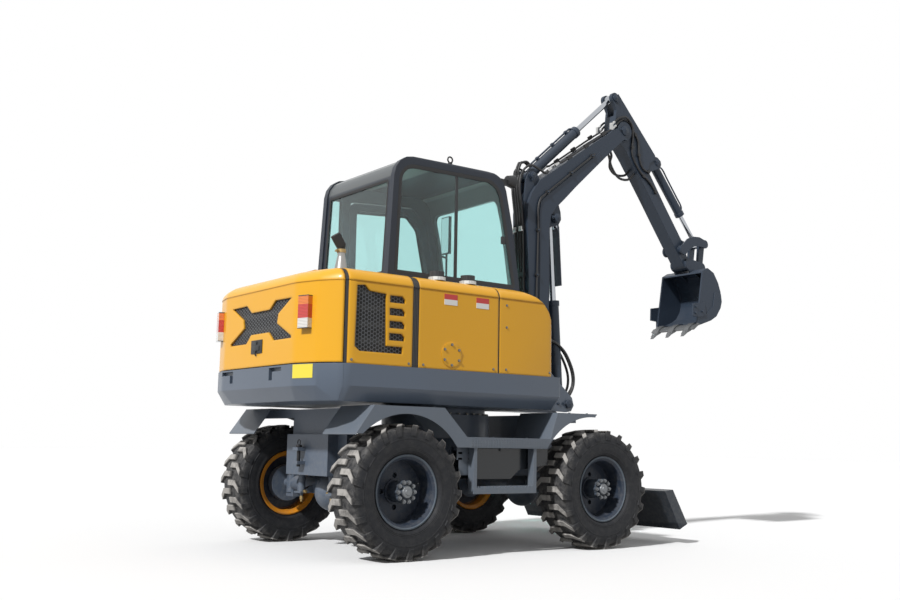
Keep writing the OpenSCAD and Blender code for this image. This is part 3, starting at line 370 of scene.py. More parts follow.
def smoothing(angle):
    """A modifier's node group that shades a CAD node smooth, up to an edge angle."""
    group = bpy.data.node_groups.new(f"smooth_{angle}", "GeometryNodeTree")
    for way in ("INPUT", "OUTPUT"):
        group.interface.new_socket("Geometry", in_out=way, socket_type="NodeSocketGeometry")
    add = group.nodes.new
    source, merge, edge, sharp, normal, target = (add(kind) for kind in (
        "NodeGroupInput", "GeometryNodeMergeByDistance", "GeometryNodeInputMeshEdgeAngle",
        "FunctionNodeCompare", "GeometryNodeSetMeshNormal", "NodeGroupOutput"))
    merge.inputs["Distance"].default_value = 0.00001
    sharp.inputs["B"].default_value = angle
    normal.inputs["Remove Custom"].default_value = True
    for first, second in (
            (source.outputs[0], merge.inputs["Geometry"]),
            (merge.outputs[0], normal.inputs["Mesh"]),
            (edge.outputs["Unsigned Angle"], sharp.inputs["A"]),
            (sharp.outputs[0], normal.inputs["Edge Sharpness"]),
            (normal.outputs[0], target.inputs[0])):
        group.links.new(first, second)
    return group


plain_edges, hose_edges = smoothing(0.5), smoothing(0.9)
for name, node in nodes.items():
    modifier = node.modifiers.new("smooth", "NODES")
    modifier.node_group = hose_edges if name in ("boom_lines", "stick_lines") else plain_edges

# Chassis: welded plate box with its slew ring pedestal, axle saddles and tanks, sprayed
# dark slate grey and dusty from the road. The ring is bolted down all round.
slate = (0.030, 0.044, 0.068)
pale_slate = (0.085, 0.112, 0.155)
steel_paint = Shader("steel_paint", slate, coat=0.05, coat_roughness=0.25, specular_ior_level=0.3)
steel_paint.paint(dust=0.10, fade=0.05)
steel_paint.wear("boom", "boom_barrel", "arm_barrel", "stick",
                 "bucket_barrel", "bell_crank", "bucket_link")
deck_paint = Shader("deck_paint", pale_slate, coat=0.2, coat_roughness=0.25).paint(dust=0.12)
deck_paint.wear("upper_frame", "counterweight")
road_paint = Shader("road_paint", pale_slate, coat=0.1).paint(dust=0.30, rough=0.5)
road_paint.wear("chassis_frame", "front_axle", "rear_axle", "knuckle_right", "knuckle_left",
                "blade_barrel")
x, y, z = road_paint.axes()
# The side tanks below the fenders get a near-black colour, which is painted shade. They also get a
# glossier surface.
tank = (x - 0.052).size().clip(0.342, 0.338) * (y.size() - 0.55).clip(0.0, 0.01) * z.clip(0.70, 0.69)
tank_painted_shade = (0.010, 0.013, 0.017)
road_paint.drive(base_color=road_paint.mix(tank, road_paint.fed("Base Color"), tank_painted_shade),
                 roughness=road_paint.fed("Roughness") * (1.0 - tank * 0.7))
zinc = Shader("zinc_bolts", (0.20, 0.20, 0.19), metal=0.8).grain(90.0, 0.3, 0.35)
ring_bolts = Piece("ring_bolts")
ring_top = 0.9165
for x, y in around(36, 0.3755):
    ring_bolts.bolt((x, y, ring_top), (0, 0, 1), 0.018, 0.012)
ring_bolts.done("chassis", zinc)

# Towing pin: a plain steel pin with a ring handle, dropped through the jaw's two plates.
black_steel = Shader("black_steel", (0.03, 0.03, 0.032), metal=0.6).grain(60.0, 0.3, 0.3)
tow_pin = Piece("tow_pin")
jaw_x, jaw_y = -1.087, 0.05
tow_pin.bar((jaw_x, jaw_y, 0.545), (jaw_x, jaw_y, 0.686), 0.0122, soft=0.002)
tow_pin.bar((jaw_x, jaw_y, 0.673), (jaw_x, jaw_y, 0.688), 0.021, soft=0.002)
tow_pin.pipe([(jaw_x, jaw_y + u, 0.704 + v) for u, v in closed_ring(0.018)], 0.0035, 8, 2)
tow_pin.done("chassis", black_steel)

# Brass fittings of the axle lock cylinders, screwed into their sides and lower ends.
brass = Shader("brass", (0.36, 0.26, 0.12), metal=0.9).grain(120.0, 0.25, 0.4)
lock_fittings = Piece("lock_fittings")
lock_x = -0.97
for s in (-1, 1):
    y = s * 0.2
    lock_fittings.bar((lock_x, s * 0.166, 0.3755), (lock_x, s * 0.138, 0.3755), 0.011, 6, soft=0.0008)
    lock_fittings.bar((lock_x, y, 0.3455), (lock_x, y, 0.320), 0.0125, 6, soft=0.001)
    lock_fittings.bar((lock_x, y, 0.320), (lock_x, y, 0.306), 0.008, 16, soft=0.001)
lock_fittings.done("chassis", brass)

# Fenders and ladder steps: folded sheet, the steps with a pressed tread pattern.
tread_plate = Shader("tread_plate", (0.120, 0.145, 0.180), coat=0.1).paint(dust=0.22, rough=0.5)
along, across, height = tread_plate.axes()
rise = height * 2.0
lozenge = ((along + rise).wave(0.045) * (along - rise).wave(0.045)).clip(0.15, 0.5)
lozenge = lozenge * (height - 0.724).size().clip(0.030, 0.026) * across.size().clip(0.855, 0.86)
lozenge = lozenge * (along + 0.008).size().clip(0.335, 0.325)
tread_plate.drive(normal=tread_plate.bump(lozenge, 0.004, 0.003))
tread_plate.wear("fenders", "steps")
plate_bolts = Piece("fender_bolts")
for s in (-1, 1):
    for x in (-0.99, -0.60, 0.45, 0.58, 0.75):
        plate_bolts.bolt((x, s * 0.80, 0.937), (0, 0, 1), 0.015, 0.007)
    for x in (-0.30, -0.03, 0.27):
        plate_bolts.bolt((x, s * 0.70, 0.757), (0, 0, 1), 0.015, 0.007)
plate_bolts.done("chassis", tread_plate)

# Bracket sheets: a slotted, folded sheet behind each ladder, under the fender run.
brackets = Piece("slotted_brackets")
front, rear_low, rear_high, sheet = -0.288, -0.378, -0.396, 0.004
levels = (0.516, 0.611, 0.624, 0.648, 0.661, 0.693)
for s in (-1, 1):
    for k, (low, high) in enumerate(zip(levels, levels[1:])):
        slotted = k % 2 == 1
        rear = rear_high if k else rear_low
        cuts = (rear, -0.384, -0.352, -0.304) if slotted else (rear, front)
        for a, b in zip(cuts[::2], cuts[1::2]):
            brackets.block((a, s * 0.783 - sheet / 2, low), (b, s * 0.783 + sheet / 2, high))
    for rear, z in ((rear_low, levels[0] - sheet), (rear_high, levels[-1])):
        brackets.block((rear, s * 0.745 - 0.038, z), (front, s * 0.745 + 0.040, z + sheet))
brackets.done("chassis", tread_plate)

# Tyres: traction tyres, their tread and lugs pale with dry dust and their sidewalls dark,
# with moulded rings.
dry_dust = (0.42, 0.40, 0.375)
rubber = Shader("tyre_rubber", (0.016, 0.017, 0.020), rough=0.75, specular_ior_level=0.3)
radius, _ = rubber.wheel_axes()
dusting = rubber.noise(26.0, 6.0, 0.7)
blotch = rubber.noise(5.0, 3.0)
face = radius.clip(0.402, 0.411) * (dusting * 0.5 + blotch * 0.7).clip(0.32, 0.62)
groove = radius.clip(0.355, 0.385) * dusting.clip(0.35, 0.7) * 0.35
side_dust = dusting.clip(0.45, 0.8) * 0.16
share = (face * 0.85 + groove * 0.6 + side_dust * 0.4).math("MINIMUM", 1.0)
rings = radius.wave(0.009) * radius.clip(0.245, 0.250) * radius.clip(0.275, 0.270)
rings = rings + (radius.clip(0.318, 0.321) * radius.clip(0.330, 0.327)) * 2.0
rubber.drive(
    base_color=rubber.mix(share, rubber.base, dry_dust),
    roughness=share * 0.2 + 0.66,
    normal=rubber.bump(rings + dusting * 0.5, 0.0018))
rubber.wear("tyre_front_right", "tyre_front_left", "tyre_rear_right", "tyre_rear_left")

# Rims: pressed and welded steel, dark grey discs, a paler outer lip band, and orange inner
# sides. Ten nuts hold each hub flange, a turned cap closes it, and a valve stands in the rim.
rim_paint = Shader("rim_paint", (0.026, 0.036, 0.056), coat=0.05, specular_ior_level=0.3)
pale_lip, rim_orange = (0.10, 0.125, 0.155), (0.72, 0.27, 0.015)
radius, outward = rim_paint.wheel_axes()
outward = outward - 0.75
lip = radius.clip(0.213, 0.216) * outward.clip(0.02, 0.05)
inner = radius.clip(0.178, 0.184) * outward.clip(-0.02, -0.05)
grime = rim_paint.noise(22.0, 5.0, 0.65)
flange = radius.clip(0.082, 0.080) * outward.clip(0.02, 0.05)
colour = rim_paint.mix((lip + flange * 0.5).math("MINIMUM", 1.0), rim_paint.base, pale_lip)
colour = rim_paint.mix(inner, colour, rim_orange)
rim_paint.drive(
    base_color=rim_paint.mix(grime.clip(0.45, 0.8) * 0.25, colour, (0.25, 0.235, 0.21)),
    roughness=grime * 0.35 + 0.28,
    normal=rim_paint.bump(grime, 0.0006, 0.003))
rim_paint.wear("rim_front_right", "rim_front_left", "rim_rear_right", "rim_rear_left")
hub_steel = Shader("hub_steel", (0.20, 0.21, 0.22), metal=0.7).grain(70.0, 0.35, 0.3)
cap_profile = ((0, 0.016), (0.018, 0.016), (0.020, 0.012), (0.034, 0.008), (0.038, 0.002),
               (0.038, -0.001))
for end, x in (("front", wheel_x), ("rear", -wheel_x)):
    for hand, s in (("right", -1), ("left", 1)):
        nuts = Piece(f"hub_nuts_{end}_{hand}")
        out = Vector((0, s, 0))
        for u, v in around(10, 0.06):
            place = Vector((x + u, s * hub_face, wheel_z + v))
            nuts.bolt(place, out, 0.021, 0.013)
            nuts.bar(place + out * 0.013, place + out * 0.020, 0.0055, 12, soft=0.0008)
        nuts.lathe(cap_profile, (x, s * (hub_face + 0.009), wheel_z), out)
        valve_x = x + 0.150
        nuts.bar((valve_x, s * 0.736, 0.46), (valve_x, s * 0.778, 0.462), 0.0042, 12, soft=0.0008)
        nuts.done(f"wheel_{end}_{hand}", hub_steel)

# Blade: heavy curved plate on two arms, its paint scraped to bare steel at the lower edge.
edge_wear = Shader("worn_steel_paint", (0.020, 0.027, 0.038), coat=0.05).paint(dust=0.14, rough=0.5)
scrapes = edge_wear.noise(16.0, 6.0, 0.7, stretch=(1, 0.25, 1))
x, y, z = edge_wear.axes()
blade_bare = z.clip(0.20, 0.11) * x.clip(1.5, 1.6)
edge_wear.drive(metallic=(blade_bare * 0.6 + scrapes * 0.7).clip(0.62, 0.75) * 0.7)
edge_wear.wear("blade")

# Rods: ground hard chrome. The boom cylinder's rod carries a painted guard plate.
chrome_grey = (0.46, 0.48, 0.51)
chrome = Shader("rod_chrome", chrome_grey, metal=1.0)
chrome.drive(roughness=chrome.noise(30.0, 2.0, stretch=(1, 6, 1)) * 0.08 + 0.08)
chrome.wear("steering_rod", "blade_rod", "arm_rod", "bucket_rod")
guarded = Shader("guarded_rod", chrome_grey, metal=1.0)
x, y, z = guarded.axes()
rod_way = (Vector(boom_cylinder_head) - Vector(boom_cylinder_foot)).normalized()
off_axis = (x - boom_cylinder_head[0]) * rod_way.y - (z - boom_cylinder_head[1]) * rod_way.x
plate = off_axis.size().clip(0.0415, 0.0430)
grain = guarded.noise(30.0)
guarded.drive(
    base_color=guarded.mix(plate, guarded.base, slate),
    metallic=1.0 - plate,
    roughness=plate * 0.32 + grain * 0.08 + 0.08)
guarded.wear("boom_rod")

# Hood: pressed covers in warm yellow with a clear gloss, on black rubber seals.
yellow = (0.82, 0.405, 0.012)
hood_paint = Shader("hood_paint", yellow, coat=0.25, coat_roughness=0.08, specular_ior_level=0.3)
hood_paint.paint(dust=0.05, edge=0.018, rough=0.34, fade=0.03)
hood_paint.wear("rear_lid", "side_panels", "hood_top")
seal_rubber = Shader("seal_rubber", (0.012, 0.012, 0.013), rough=0.62)
x, y, z = seal_rubber.axes()
from_seal = x + 0.781
ribs = from_seal.wave(0.0125) * from_seal.size().clip(0.024, 0.022)
seal_rubber.grain(50.0, 0.2, 0.5).drive(normal=seal_rubber.bump(ribs, 0.002, 0.002))
seal_rubber.wear("seals")

# Vents: black sheet punched with small hexagons. Its holes are painted shade, crossed by faint painted
# bands of reflection.
mesh_sheet = Shader("vent_mesh", (0.075, 0.080, 0.088), rough=0.4)
x, y, z = mesh_sheet.axes()
along = x + y
hole_pitch, quarter = 0.021, math.tau / 4
holes = sum((((along * a + z * b) * (math.tau / hole_pitch) + quarter).math("SINE")
             for a, b in ((1.0, 0.0), (-0.5, 0.866), (-0.5, -0.866))), start=0.0).clip(-0.9, -0.5)
# In the holes: near-black painted shade, with faint horizontal bands of painted reflection.
painted_reflection_band = z.wave(0.10).clip(0.2, 0.9)
shade_and_reflection_in_holes = mesh_sheet.mix(painted_reflection_band, (0.003, 0.003, 0.003), (0.030, 0.030, 0.029))
mesh_sheet.drive(
    base_color=mesh_sheet.mix(holes, mesh_sheet.base, shade_and_reflection_in_holes),
    roughness=holes * 0.5 + 0.4,
    normal=mesh_sheet.bump(1.0 - holes, 0.002))
mesh_sheet.wear("side_grille", "lid_grille")

# Screws of the hood, and six bolts round the filter cover.
hood_screws = Piece("hood_screws")
for x, z in ((-1.246, 1.202), (-0.830, 1.201), (-0.720, 1.201), (-0.150, 1.205), (-0.039, 1.491),
             (-0.041, 1.208), (0.350, 1.208), (-0.039, 1.640)):
    for s in (-1, 1):
        if s < 0 or x < -0.8:
            place, out = seat_of("side_panels", (x, s * 1.2, z), (0, -s, 0))
            hood_screws.bolt(place, out, 0.013, 0.006)
cover_x, cover_z = -0.498, 1.277
for u, v in around(6, 0.066, 0.5):
    place, out = seat_of("side_panels", (cover_x + u, -1.2, cover_z + v), (0, 1, 0))
    hood_screws.bolt(place, out, 0.014, 0.008)
hood_screws.done("upper", zinc)

# Lid latch: a dark moulded plate with a paddle hook and a lock, on the rear lid.
moulded = Shader("moulded_black", (0.018, 0.019, 0.021)).grain(40.0, 0.2, 0.42)
moulded.drive(normal=moulded.bump(moulded.noise(700.0), 0.0003))
latch = Piece("lid_latch")
place, _ = seat_of("rear_lid", (-1.9, 0, 1.316), (1, 0, 0))
face_x = place.x
latch.block((face_x - 0.006, -0.077, 1.272), (face_x + 0.003, 0.077, 1.361), 0.003)
latch.block((face_x - 0.011, -0.045, 1.290), (face_x - 0.005, 0.045, 1.322), 0.002)
latch.bar((face_x - 0.005, 0, 1.343), (face_x - 0.012, 0, 1.343), 0.013, soft=0.002)
latch.pipe([(face_x - 0.009, 0.0, 1.295), (face_x - 0.012, 0.0, 1.285), (face_x - 0.0125, 0.0, 1.270),
            (face_x - 0.006, 0.0, 1.256)], 0.005)
latch.done("rear_lid", moulded)

# Tail lamps: ribbed lens stacks in amber, red and clear, in a black surround.
red, amber, clear_white, frame_black = (
    (0.62, 0.018, 0.010), (0.85, 0.20, 0.010), (0.78, 0.76, 0.72), (0.015, 0.015, 0.016))
lens = Shader("tail_lens", red, rough=0.12, coat=0.9)
x, y, z = lens.axes()
colour = lens.mix(z.clip(1.538, 1.541), red, amber)
colour = lens.mix(z.clip(1.456, 1.453), colour, clear_white)
surround = (z - 1.493).size().clip(0.0955, 0.0965)
lens.drive(base_color=lens.mix(surround, colour, frame_black),
           normal=lens.bump(z.wave(0.009), 0.0012, 0.003))
lens.wear("tail_lamps")

# Filler caps: black ribbed plastic on zinc flanges.
cap_finish = Shader("filler_cap", (0.016, 0.016, 0.017), rough=0.45)
x, y, z = cap_finish.axes()
flange = z.clip(1.7885, 1.7875)
cap_finish.drive(base_color=cap_finish.mix(flange, cap_finish.base, (0.55, 0.55, 0.53)),
                 metallic=flange, roughness=cap_finish.noise(60.0) * 0.2 + 0.35,
                 normal=cap_finish.bump((x + y).wave(0.008), 0.001, 0.002))
cap_finish.wear("filler_caps")

# Exhaust: spun steel cone and stub with a brass clamp and a blackened rain flap.
soot = Shader("exhaust_steel", (0.34, 0.335, 0.32), metal=0.9)
x, y, z = soot.axes()
black = z.clip(1.890, 1.915) * 0.97
soot.drive(base_color=soot.mix(black, soot.base, (0.012, 0.011, 0.011)), metallic=0.9 - black * 0.8,
           roughness=black * 0.4 + soot.noise(30.0) * 0.25 + 0.22)
soot.wear("exhaust")
clamp = Piece("exhaust_clamp")
inner_r, outer_r, tall = 0.0245, 0.0285, 0.022
band_section = ((inner_r, 0.0), (outer_r, 0.0), (outer_r, tall), (inner_r, tall), (inner_r, 0.0))
clamp.lathe(band_section, (-1.205, -0.620, 1.885), (0, 0, 1))
clamp.block((-1.247, -0.626, 1.888), (-1.228, -0.614, 1.904), 0.002)
clamp.bar((-1.238, -0.642, 1.896), (-1.238, -0.598, 1.896), 0.004, 6)
clamp.done("upper", brass)

# Engine block: cast iron, seen only through the vents and the open lid.
iron = Shader("engine_iron", (0.16, 0.17, 0.18), rough=0.7)
iron.drive(normal=iron.bump(iron.noise(40.0, 5.0), 0.003))
iron.wear("engine")


# Plates: blank enamelled tin, one warm yellow on the counterweight's corner and two red over
# white on the tank cover.
def tin_plate(name, node, body, across, heights, way, shader):
    """A thin plate that follows a node's curved face between two points of its width."""
    piece = Piece(name)
    columns = []
    steps = 12
    for k in range(steps + 1):
        at = Vector(across[0]).lerp(Vector(across[1]), k / steps)
        column = []
        for z in heights:
            place, out = seat_of(node, (at.x, at.y, z), way)
            column.append([piece.mesh.verts.new(place + out * lift) for lift in (-0.0005, 0.0018)])
        columns.append(column)
    for a, b in zip(columns, columns[1:]):
        for i in range(len(heights) - 1):
            piece.mesh.faces.new((a[i][1], b[i][1], b[i + 1][1], a[i + 1][1]))
            piece.mesh.faces.new((a[i][0], a[i + 1][0], b[i + 1][0], b[i][0]))
        for i, turn in ((0, 1), (len(heights) - 1, -1)):
            piece.mesh.faces.new((a[i][0], b[i][0], b[i][1], a[i][1])[::turn])
    for column, turn in ((columns[0], -1), (columns[-1], 1)):
        for (low_in, low_out), (high_in, high_out) in zip(column, column[1:]):
            piece.mesh.faces.new((low_in, high_in, high_out, low_out)[::turn])
    return piece.done(body, shader)


plate_yellow = Shader("plate_yellow", (0.85, 0.70, 0.06), coat=0.2).grain(30.0, 0.2, 0.28)
tin_plate("blank_plate_rear", "counterweight", "upper", ((-1.70, -0.500), (-1.70, -0.665)),
          (1.092, 1.115, 1.140, 1.165, 1.176), (1, 0, 0), plate_yellow)
plate_red = Shader("plate_red_white", (0.56, 0.025, 0.02), coat=0.4).grain(30.0, 0.2, 0.28)
x, y, z = plate_red.axes()
plate_red.drive(base_color=plate_red.mix(z.clip(1.6325, 1.6335), (0.80, 0.79, 0.76), plate_red.base))
for k, (rear, front) in enumerate(((-0.562, -0.457), (-0.300, -0.195))):
    tin_plate(f"blank_plate_side_{k}", "side_panels", "upper", ((rear, -1.2), (front, -1.2)),
              (1.598, 1.616, 1.633, 1.650, 1.668), (0, 1, 0), plate_red)

# Cab: pressed and welded dark grey frame, lined inside with dark walls and a paler ceiling.
cab_paint = Shader("cab_paint", (0.022, 0.029, 0.043), coat=0.06, coat_roughness=0.2,
                   specular_ior_level=0.3)
cab_paint.paint(dust=0.08, edge=0.006, rough=0.42, fade=0.08)
x, y, z = cab_paint.axes()
inside = (y - 0.340).size().clip(0.4475, 0.4470) * (x - 0.075).size().clip(0.575, 0.570)
inside = inside * z.clip(2.7245, 2.7238)
lining = cab_paint.mix(z.clip(2.70, 2.72), (0.11, 0.12, 0.125), (0.36, 0.38, 0.37))
cab_paint.drive(base_color=cab_paint.mix(inside, cab_paint.fed("Base Color"), lining))
cab_paint.wear("cab_floor", "cab_ends", "cab_sides", "cab_roof", "cab_door")

# Cab glass: green tinted safety glass, held by black rubber beads.
glass = Shader("cab_glass", (0.64, 0.86, 0.85), rough=0.015, transmission_weight=1.0, ior=1.45)
shadow = glass.node("LightPath", output="Is Shadow Ray")
clear = glass.node("BsdfTransparent", inputs={"Color": (0.72, 0.90, 0.86, 1.0)})
both = glass.node("MixShader", inputs={0: shadow, 1: Value(glass, glass.bsdf.outputs[0]), 2: clear})
glass.put(glass.tree.nodes["Material Output"].inputs["Surface"], both)
glass.wear("cab_glass", "door_glass")
bead_rubber = Shader("bead_rubber", (0.010, 0.010, 0.011)).grain(60.0, 0.2, 0.4)


def bead(name, outline, lift, body, wide=0.020):
    """A rubber bead inside a window outline of points [across, up, corner radius]."""
    points = []
    arc_steps = 8
    for k, (u, v, r) in enumerate(outline):
        here = Vector((u, v))
        first = (Vector(outline[k - 1][:2]) - here).normalized()
        second = (Vector(outline[(k + 1) % len(outline)][:2]) - here).normalized()
        half = first.angle(second) / 2
        middle = here + (first + second).normalized() * r / math.sin(half)
        start = here + first * r / math.tan(half) - middle
        turn = (math.pi - 2 * half) * (-1 if first.cross(second) < 0 else 1)
        points += [middle + Matrix.Rotation(-turn * i / arc_steps, 2) @ start
                   for i in range(arc_steps + 1)]
    inward = []
    for k, p in enumerate(points):
        run = (points[(k + 1) % len(points)] - points[k - 1]).normalized()
        inward.append(Vector((-run.y, run.x)))
    centre = sum(points, Vector((0, 0))) / len(points)
    if inward[0].dot(centre - points[0]) < 0:
        inward = [-n for n in inward]
    piece = Piece(name)
    section = ((0.0005, 0.0065), (0.0005, 0.0), (wide * 0.4, -0.0012), (wide, 0.003), (wide, 0.0065))
    rings = [[piece.mesh.verts.new(lift(p + n * step, depth)) for p, n in zip(points, inward)]
             for step, depth in section]
    for a, b in zip(rings, rings[1:] + rings[:1]):
        for k in range(len(points)):
            m = (k + 1) % len(points)
            piece.mesh.faces.new((a[k], a[m], b[m], b[k]))
    return piece.done(body, bead_rubber)


def on_right(p, depth):
    """A place on the cab's right side, depth behind its face."""
    return (p.x, right_window_y + depth, p.y)


def on_left(p, depth):
    """A place on the cab's left side, which leans in above the sill."""
    return (p.x, left_window_y - depth - max(p.y - window_sill, 0) * 0.0136, p.y)


def on_rear(p, depth):
    """A place on the cab's rear side, which leans forward, more so above the sill."""
    lean = 0.0487 if p.y > window_sill else 0.0208
    return (rear_window_x + depth + (p.y - window_sill) * lean, p.x, p.y)


bead("bead_right", ((-0.490, 1.896, 0.03), (-0.462, 2.704, 0.135), (0.466, 2.716, 0.17),
                    (0.628, 1.896, 0.03)), on_right, "upper", 0.028)
bead("bead_quarter", ((-0.485, 1.932, 0.03), (-0.455, 2.610, 0.06), (-0.355, 2.610, 0.02),
                      (-0.355, 1.932, 0.02)), on_left, "upper", 0.014)
bead("bead_door", ((-0.230, 1.780, 0.04), (-0.230, 2.540, 0.04), (0.270, 2.575, 0.06),
                   (0.380, 2.470, 0.12), (0.505, 1.950, 0.10), (0.520, 1.780, 0.04)),
     on_left, "cab_door")
bead("bead_rear", ((-0.066, 1.896, 0.03), (-0.066, 2.590, 0.03), (0.765, 2.590, 0.03),
                   (0.765, 1.896, 0.03)), on_rear, "upper")

# Window divider: the joint of two sliding panes of the right window, with a small catch.
divider = Piece("window_divider")
divider.block((0.041, -0.143, 1.925), (0.069, -0.132, 2.688), 0.002)
divider.block((0.490, -0.146, 2.230), (0.530, -0.128, 2.290), 0.004)
divider.done("upper", moulded)

# Roof eye for lifting the cab, a forged ring on a round foot.
eye = Piece("roof_eye")
foot, _ = seat_of("cab_sides", (0.005, -0.12, 3.2), (0, 0, -1))
eye.bar(foot, foot + Vector((0, 0, 0.014)), 0.017, soft=0.003)
eye.pipe([(foot.x + u, foot.y, foot.z + 0.036 + v) for u, v in closed_ring(0.022)], 0.006, 10, 2)
eye.done("upper", black_steel)

# Door handle: a moulded bar on two feet below the door's window.
handle = Piece("door_handle")
handle.block((0.395, 0.844, 1.655), (0.475, 0.858, 1.715), 0.004)
handle.pipe([(0.41, 0.852, 1.685), (0.40, 0.878, 1.685), (0.36, 0.884, 1.685), (0.30, 0.882, 1.685),
             (0.285, 0.850, 1.685)], 0.008)
handle.done("cab_door", moulded)

# Cab trim, controls, mirrors and lamps: moulded plastic.
moulded.wear("controls", "mirrors", "seat_base", "work_lamps")
mirror_glass = Shader("mirror_glass", (0.80, 0.82, 0.83), metal=1.0).grain(15.0, 0.03, 0.02)
mirror = Piece("mirror_face")
mirror.block((0.7365, 0.866, 2.333), (0.7385, 0.964, 2.642), 0.0006)
mirror.done("upper", mirror_glass)
lamp_lens = Shader("lamp_lens", (0.85, 0.86, 0.84), rough=0.06, coat=1.0)
x, y, z = lamp_lens.axes()
lamp_lens.drive(normal=lamp_lens.bump(y.wave(0.008) + z.wave(0.02), 0.001),
                roughness=lamp_lens.noise(40.0) * 0.08 + 0.04)
lenses = Piece("work_lamp_lenses")
lens_profile = ((0, 0.006), (0.036, 0.004), (0.047, 0.0), (0.048, -0.002), (0, -0.002))
for y in (-0.135, 0.655):
    lenses.lathe(lens_profile, (0.6095, y, 2.735), (1, 0, 0))
lenses.done("upper", lamp_lens)

# Lines: rubber hoses in clamps on the boom and the stick.
hose_rubber = Shader("hose_rubber", (0.013, 0.013, 0.014)).grain(12.0, 0.25, 0.35)
hose_rubber.drive(normal=hose_rubber.bump(hose_rubber.noise(240.0, 2.0), 0.0006))
hose_rubber.wear("boom_lines", "stick_lines")


# Pin ends: a turned head on a keeper plate with one bolt and a grease nipple, both sides of
# each joint.
def pin_ends(name, body, table):
    """Rows: the pin, outer face of its carrier, head radius, way of the keeper plate."""
    piece = Piece(name)
    for (x, z), face, head, (u, v) in table:
        profile = ((0, 0.012), (head * 0.35, 0.012), (head * 0.5, 0.0095), (head * 0.86, 0.0095),
                   (head, 0.007), (head, -0.002), (0, -0.002))
        off = head * 1.25
        for s in (-1, 1):
            piece.lathe(profile, (x, s * face, z), (0, s, 0), 28)
            keeper = Vector((x + u * off, s * (face + 0.0005), z + v * off))
            low, high = Vector((-0.013, -0.0025, -0.013)), Vector((0.013, 0.0035, 0.013))
            piece.block(keeper + low, keeper + high, 0.002)
            piece.bolt(keeper + Vector((0, s * 0.0035, 0)), (0, s, 0), 0.012, 0.008)
            piece.bar((x, s * (face + 0.012), z), (x, s * (face + 0.019), z), 0.004, 8, 0.0025)
    return piece.done(body, steel_paint)


pin_ends("pins_upper", "upper", (
    (boom_foot, 0.135, 0.040, (0, 1)), (boom_cylinder_foot, 0.135, 0.034, (-1, 0))))
pin_ends("pins_boom", "boom", (
    (boom_cylinder_head, 0.0965, 0.034, (-1, 0)), (boom_tip, 0.0905, 0.042, (-1, 0)),
    (arm_cylinder_foot, 0.0795, 0.028, (0, -1))))
pin_ends("pins_stick", "stick", (
    (arm_cylinder_head, 0.0655, 0.030, (0.5, -0.8)),
    (bucket_cylinder_foot, 0.0595, 0.024, (-1, 0.3))))

# Bolts of the boom's foot bracket and of the pipe clamps.
bracket_bolts = Piece("bracket_bolts")
for s in (-1, 1):
    for x, z in ((0.78, 1.10), (0.86, 1.10), (0.78, 1.02), (0.86, 1.02), (1.02, 1.06), (1.10, 1.04)):
        bracket_bolts.bolt((x, s * 0.122, z), (0, s, 0), 0.019)
bracket_bolts.done("upper", steel_paint)
clamp_bolts = Piece("boom_clamp_bolts")
for s in (-1, 1):
    for x, z in ((0.881, 1.700), (0.891, 2.040), (0.901, 2.400),
                 (1.000, 2.724), (1.260, 2.926), (1.500, 3.113)):
        clamp_bolts.bolt((x, s * 0.1102, z), (0, s, 0), 0.015, 0.008)
clamp_bolts.done("boom", steel_paint)

# Hose loops over the boom foot: three hoses from the upper's manifold up into the boom.
thick_hose, thin_hose = 0.0105, 0.0095
foot_hoses = Piece("foot_hoses")
for y, out in ((-0.052, 0.0), (-0.020, 0.018), (0.014, 0.0)):
    foot_hoses.pipe([
        (1.030, y, 1.560), (1.080, y, 1.545), (1.164 + out, y, 1.511), (1.251 + out, y, 1.440),
        (1.325 + out, y, 1.305), (1.329 + out, y, 1.190), (1.270, y, 1.100),
        (1.200, y * 0.8, 1.098)], thick_hose)
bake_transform(foot_hoses.done(None, hose_rubber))

# Hose loops under the boom's tip: two hoses in the middle plane, from the boom's underside
# to the stick's. Two more on each side lead over the pin, from bright unions on a block on
# the boom's cheek to the stick's hoses.
tip_hoses = Piece("tip_hoses")
for y, loop in (
        (-0.020, ((1.600, 3.215), (1.690, 3.250), (1.775, 3.240), (1.808, 3.190), (1.793, 3.125),
                  (1.846, 3.044), (1.918, 3.004), (2.018, 3.016), (2.092, 3.085))),
        (0.022, ((1.600, 3.190), (1.700, 3.225), (1.795, 3.222), (1.829, 3.170), (1.832, 3.092),
                 (1.900, 3.046), (2.009, 3.058), (2.072, 3.115)))):
    tip_hoses.pipe([(x, y, z) for x, z in loop], thick_hose)
inner_crossing = ((1.790, 0.083, 3.435), (1.842, 0.083, 3.487), (1.905, 0.080, 3.516),
                  (1.972, 0.077, 3.496), (2.012, 0.0742, 3.452))
outer_crossing = ((1.776, 0.083, 3.464), (1.835, 0.090, 3.512), (1.912, 0.097, 3.532),
                  (1.988, 0.094, 3.474), (2.012, 0.078, 3.385), (2.012, 0.0742, 3.330))
for s in (-1, 1):
    for route in (inner_crossing, outer_crossing):
        tip_hoses.pipe(mirrored(s, route), thin_hose)
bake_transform(tip_hoses.done(None, hose_rubber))
bright = Shader("bright_fittings", (0.55, 0.55, 0.54), metal=0.9).grain(80.0, 0.3, 0.25)
unions = Piece("boom_unions")
union_way = Vector((0.04, 0, 0.036)).normalized()
union_parts = ((0.0, 0.022, 0.0115, 6), (0.022, 0.034, 0.0095, 16), (0.034, 0.052, 0.012, 6))
for s in (-1, 1):
    unions.block((1.732, s * 0.082 - 0.010, 3.392), (1.760, s * 0.082 + 0.010, 3.452), 0.002)
    for x, z in ((1.758, 3.406), (1.744, 3.436)):
        start = Vector((x, s * 0.083, z))
        for low, high, r, sides in union_parts:
            unions.bar(start + union_way * low, start + union_way * high, r, sides, soft=0.001)

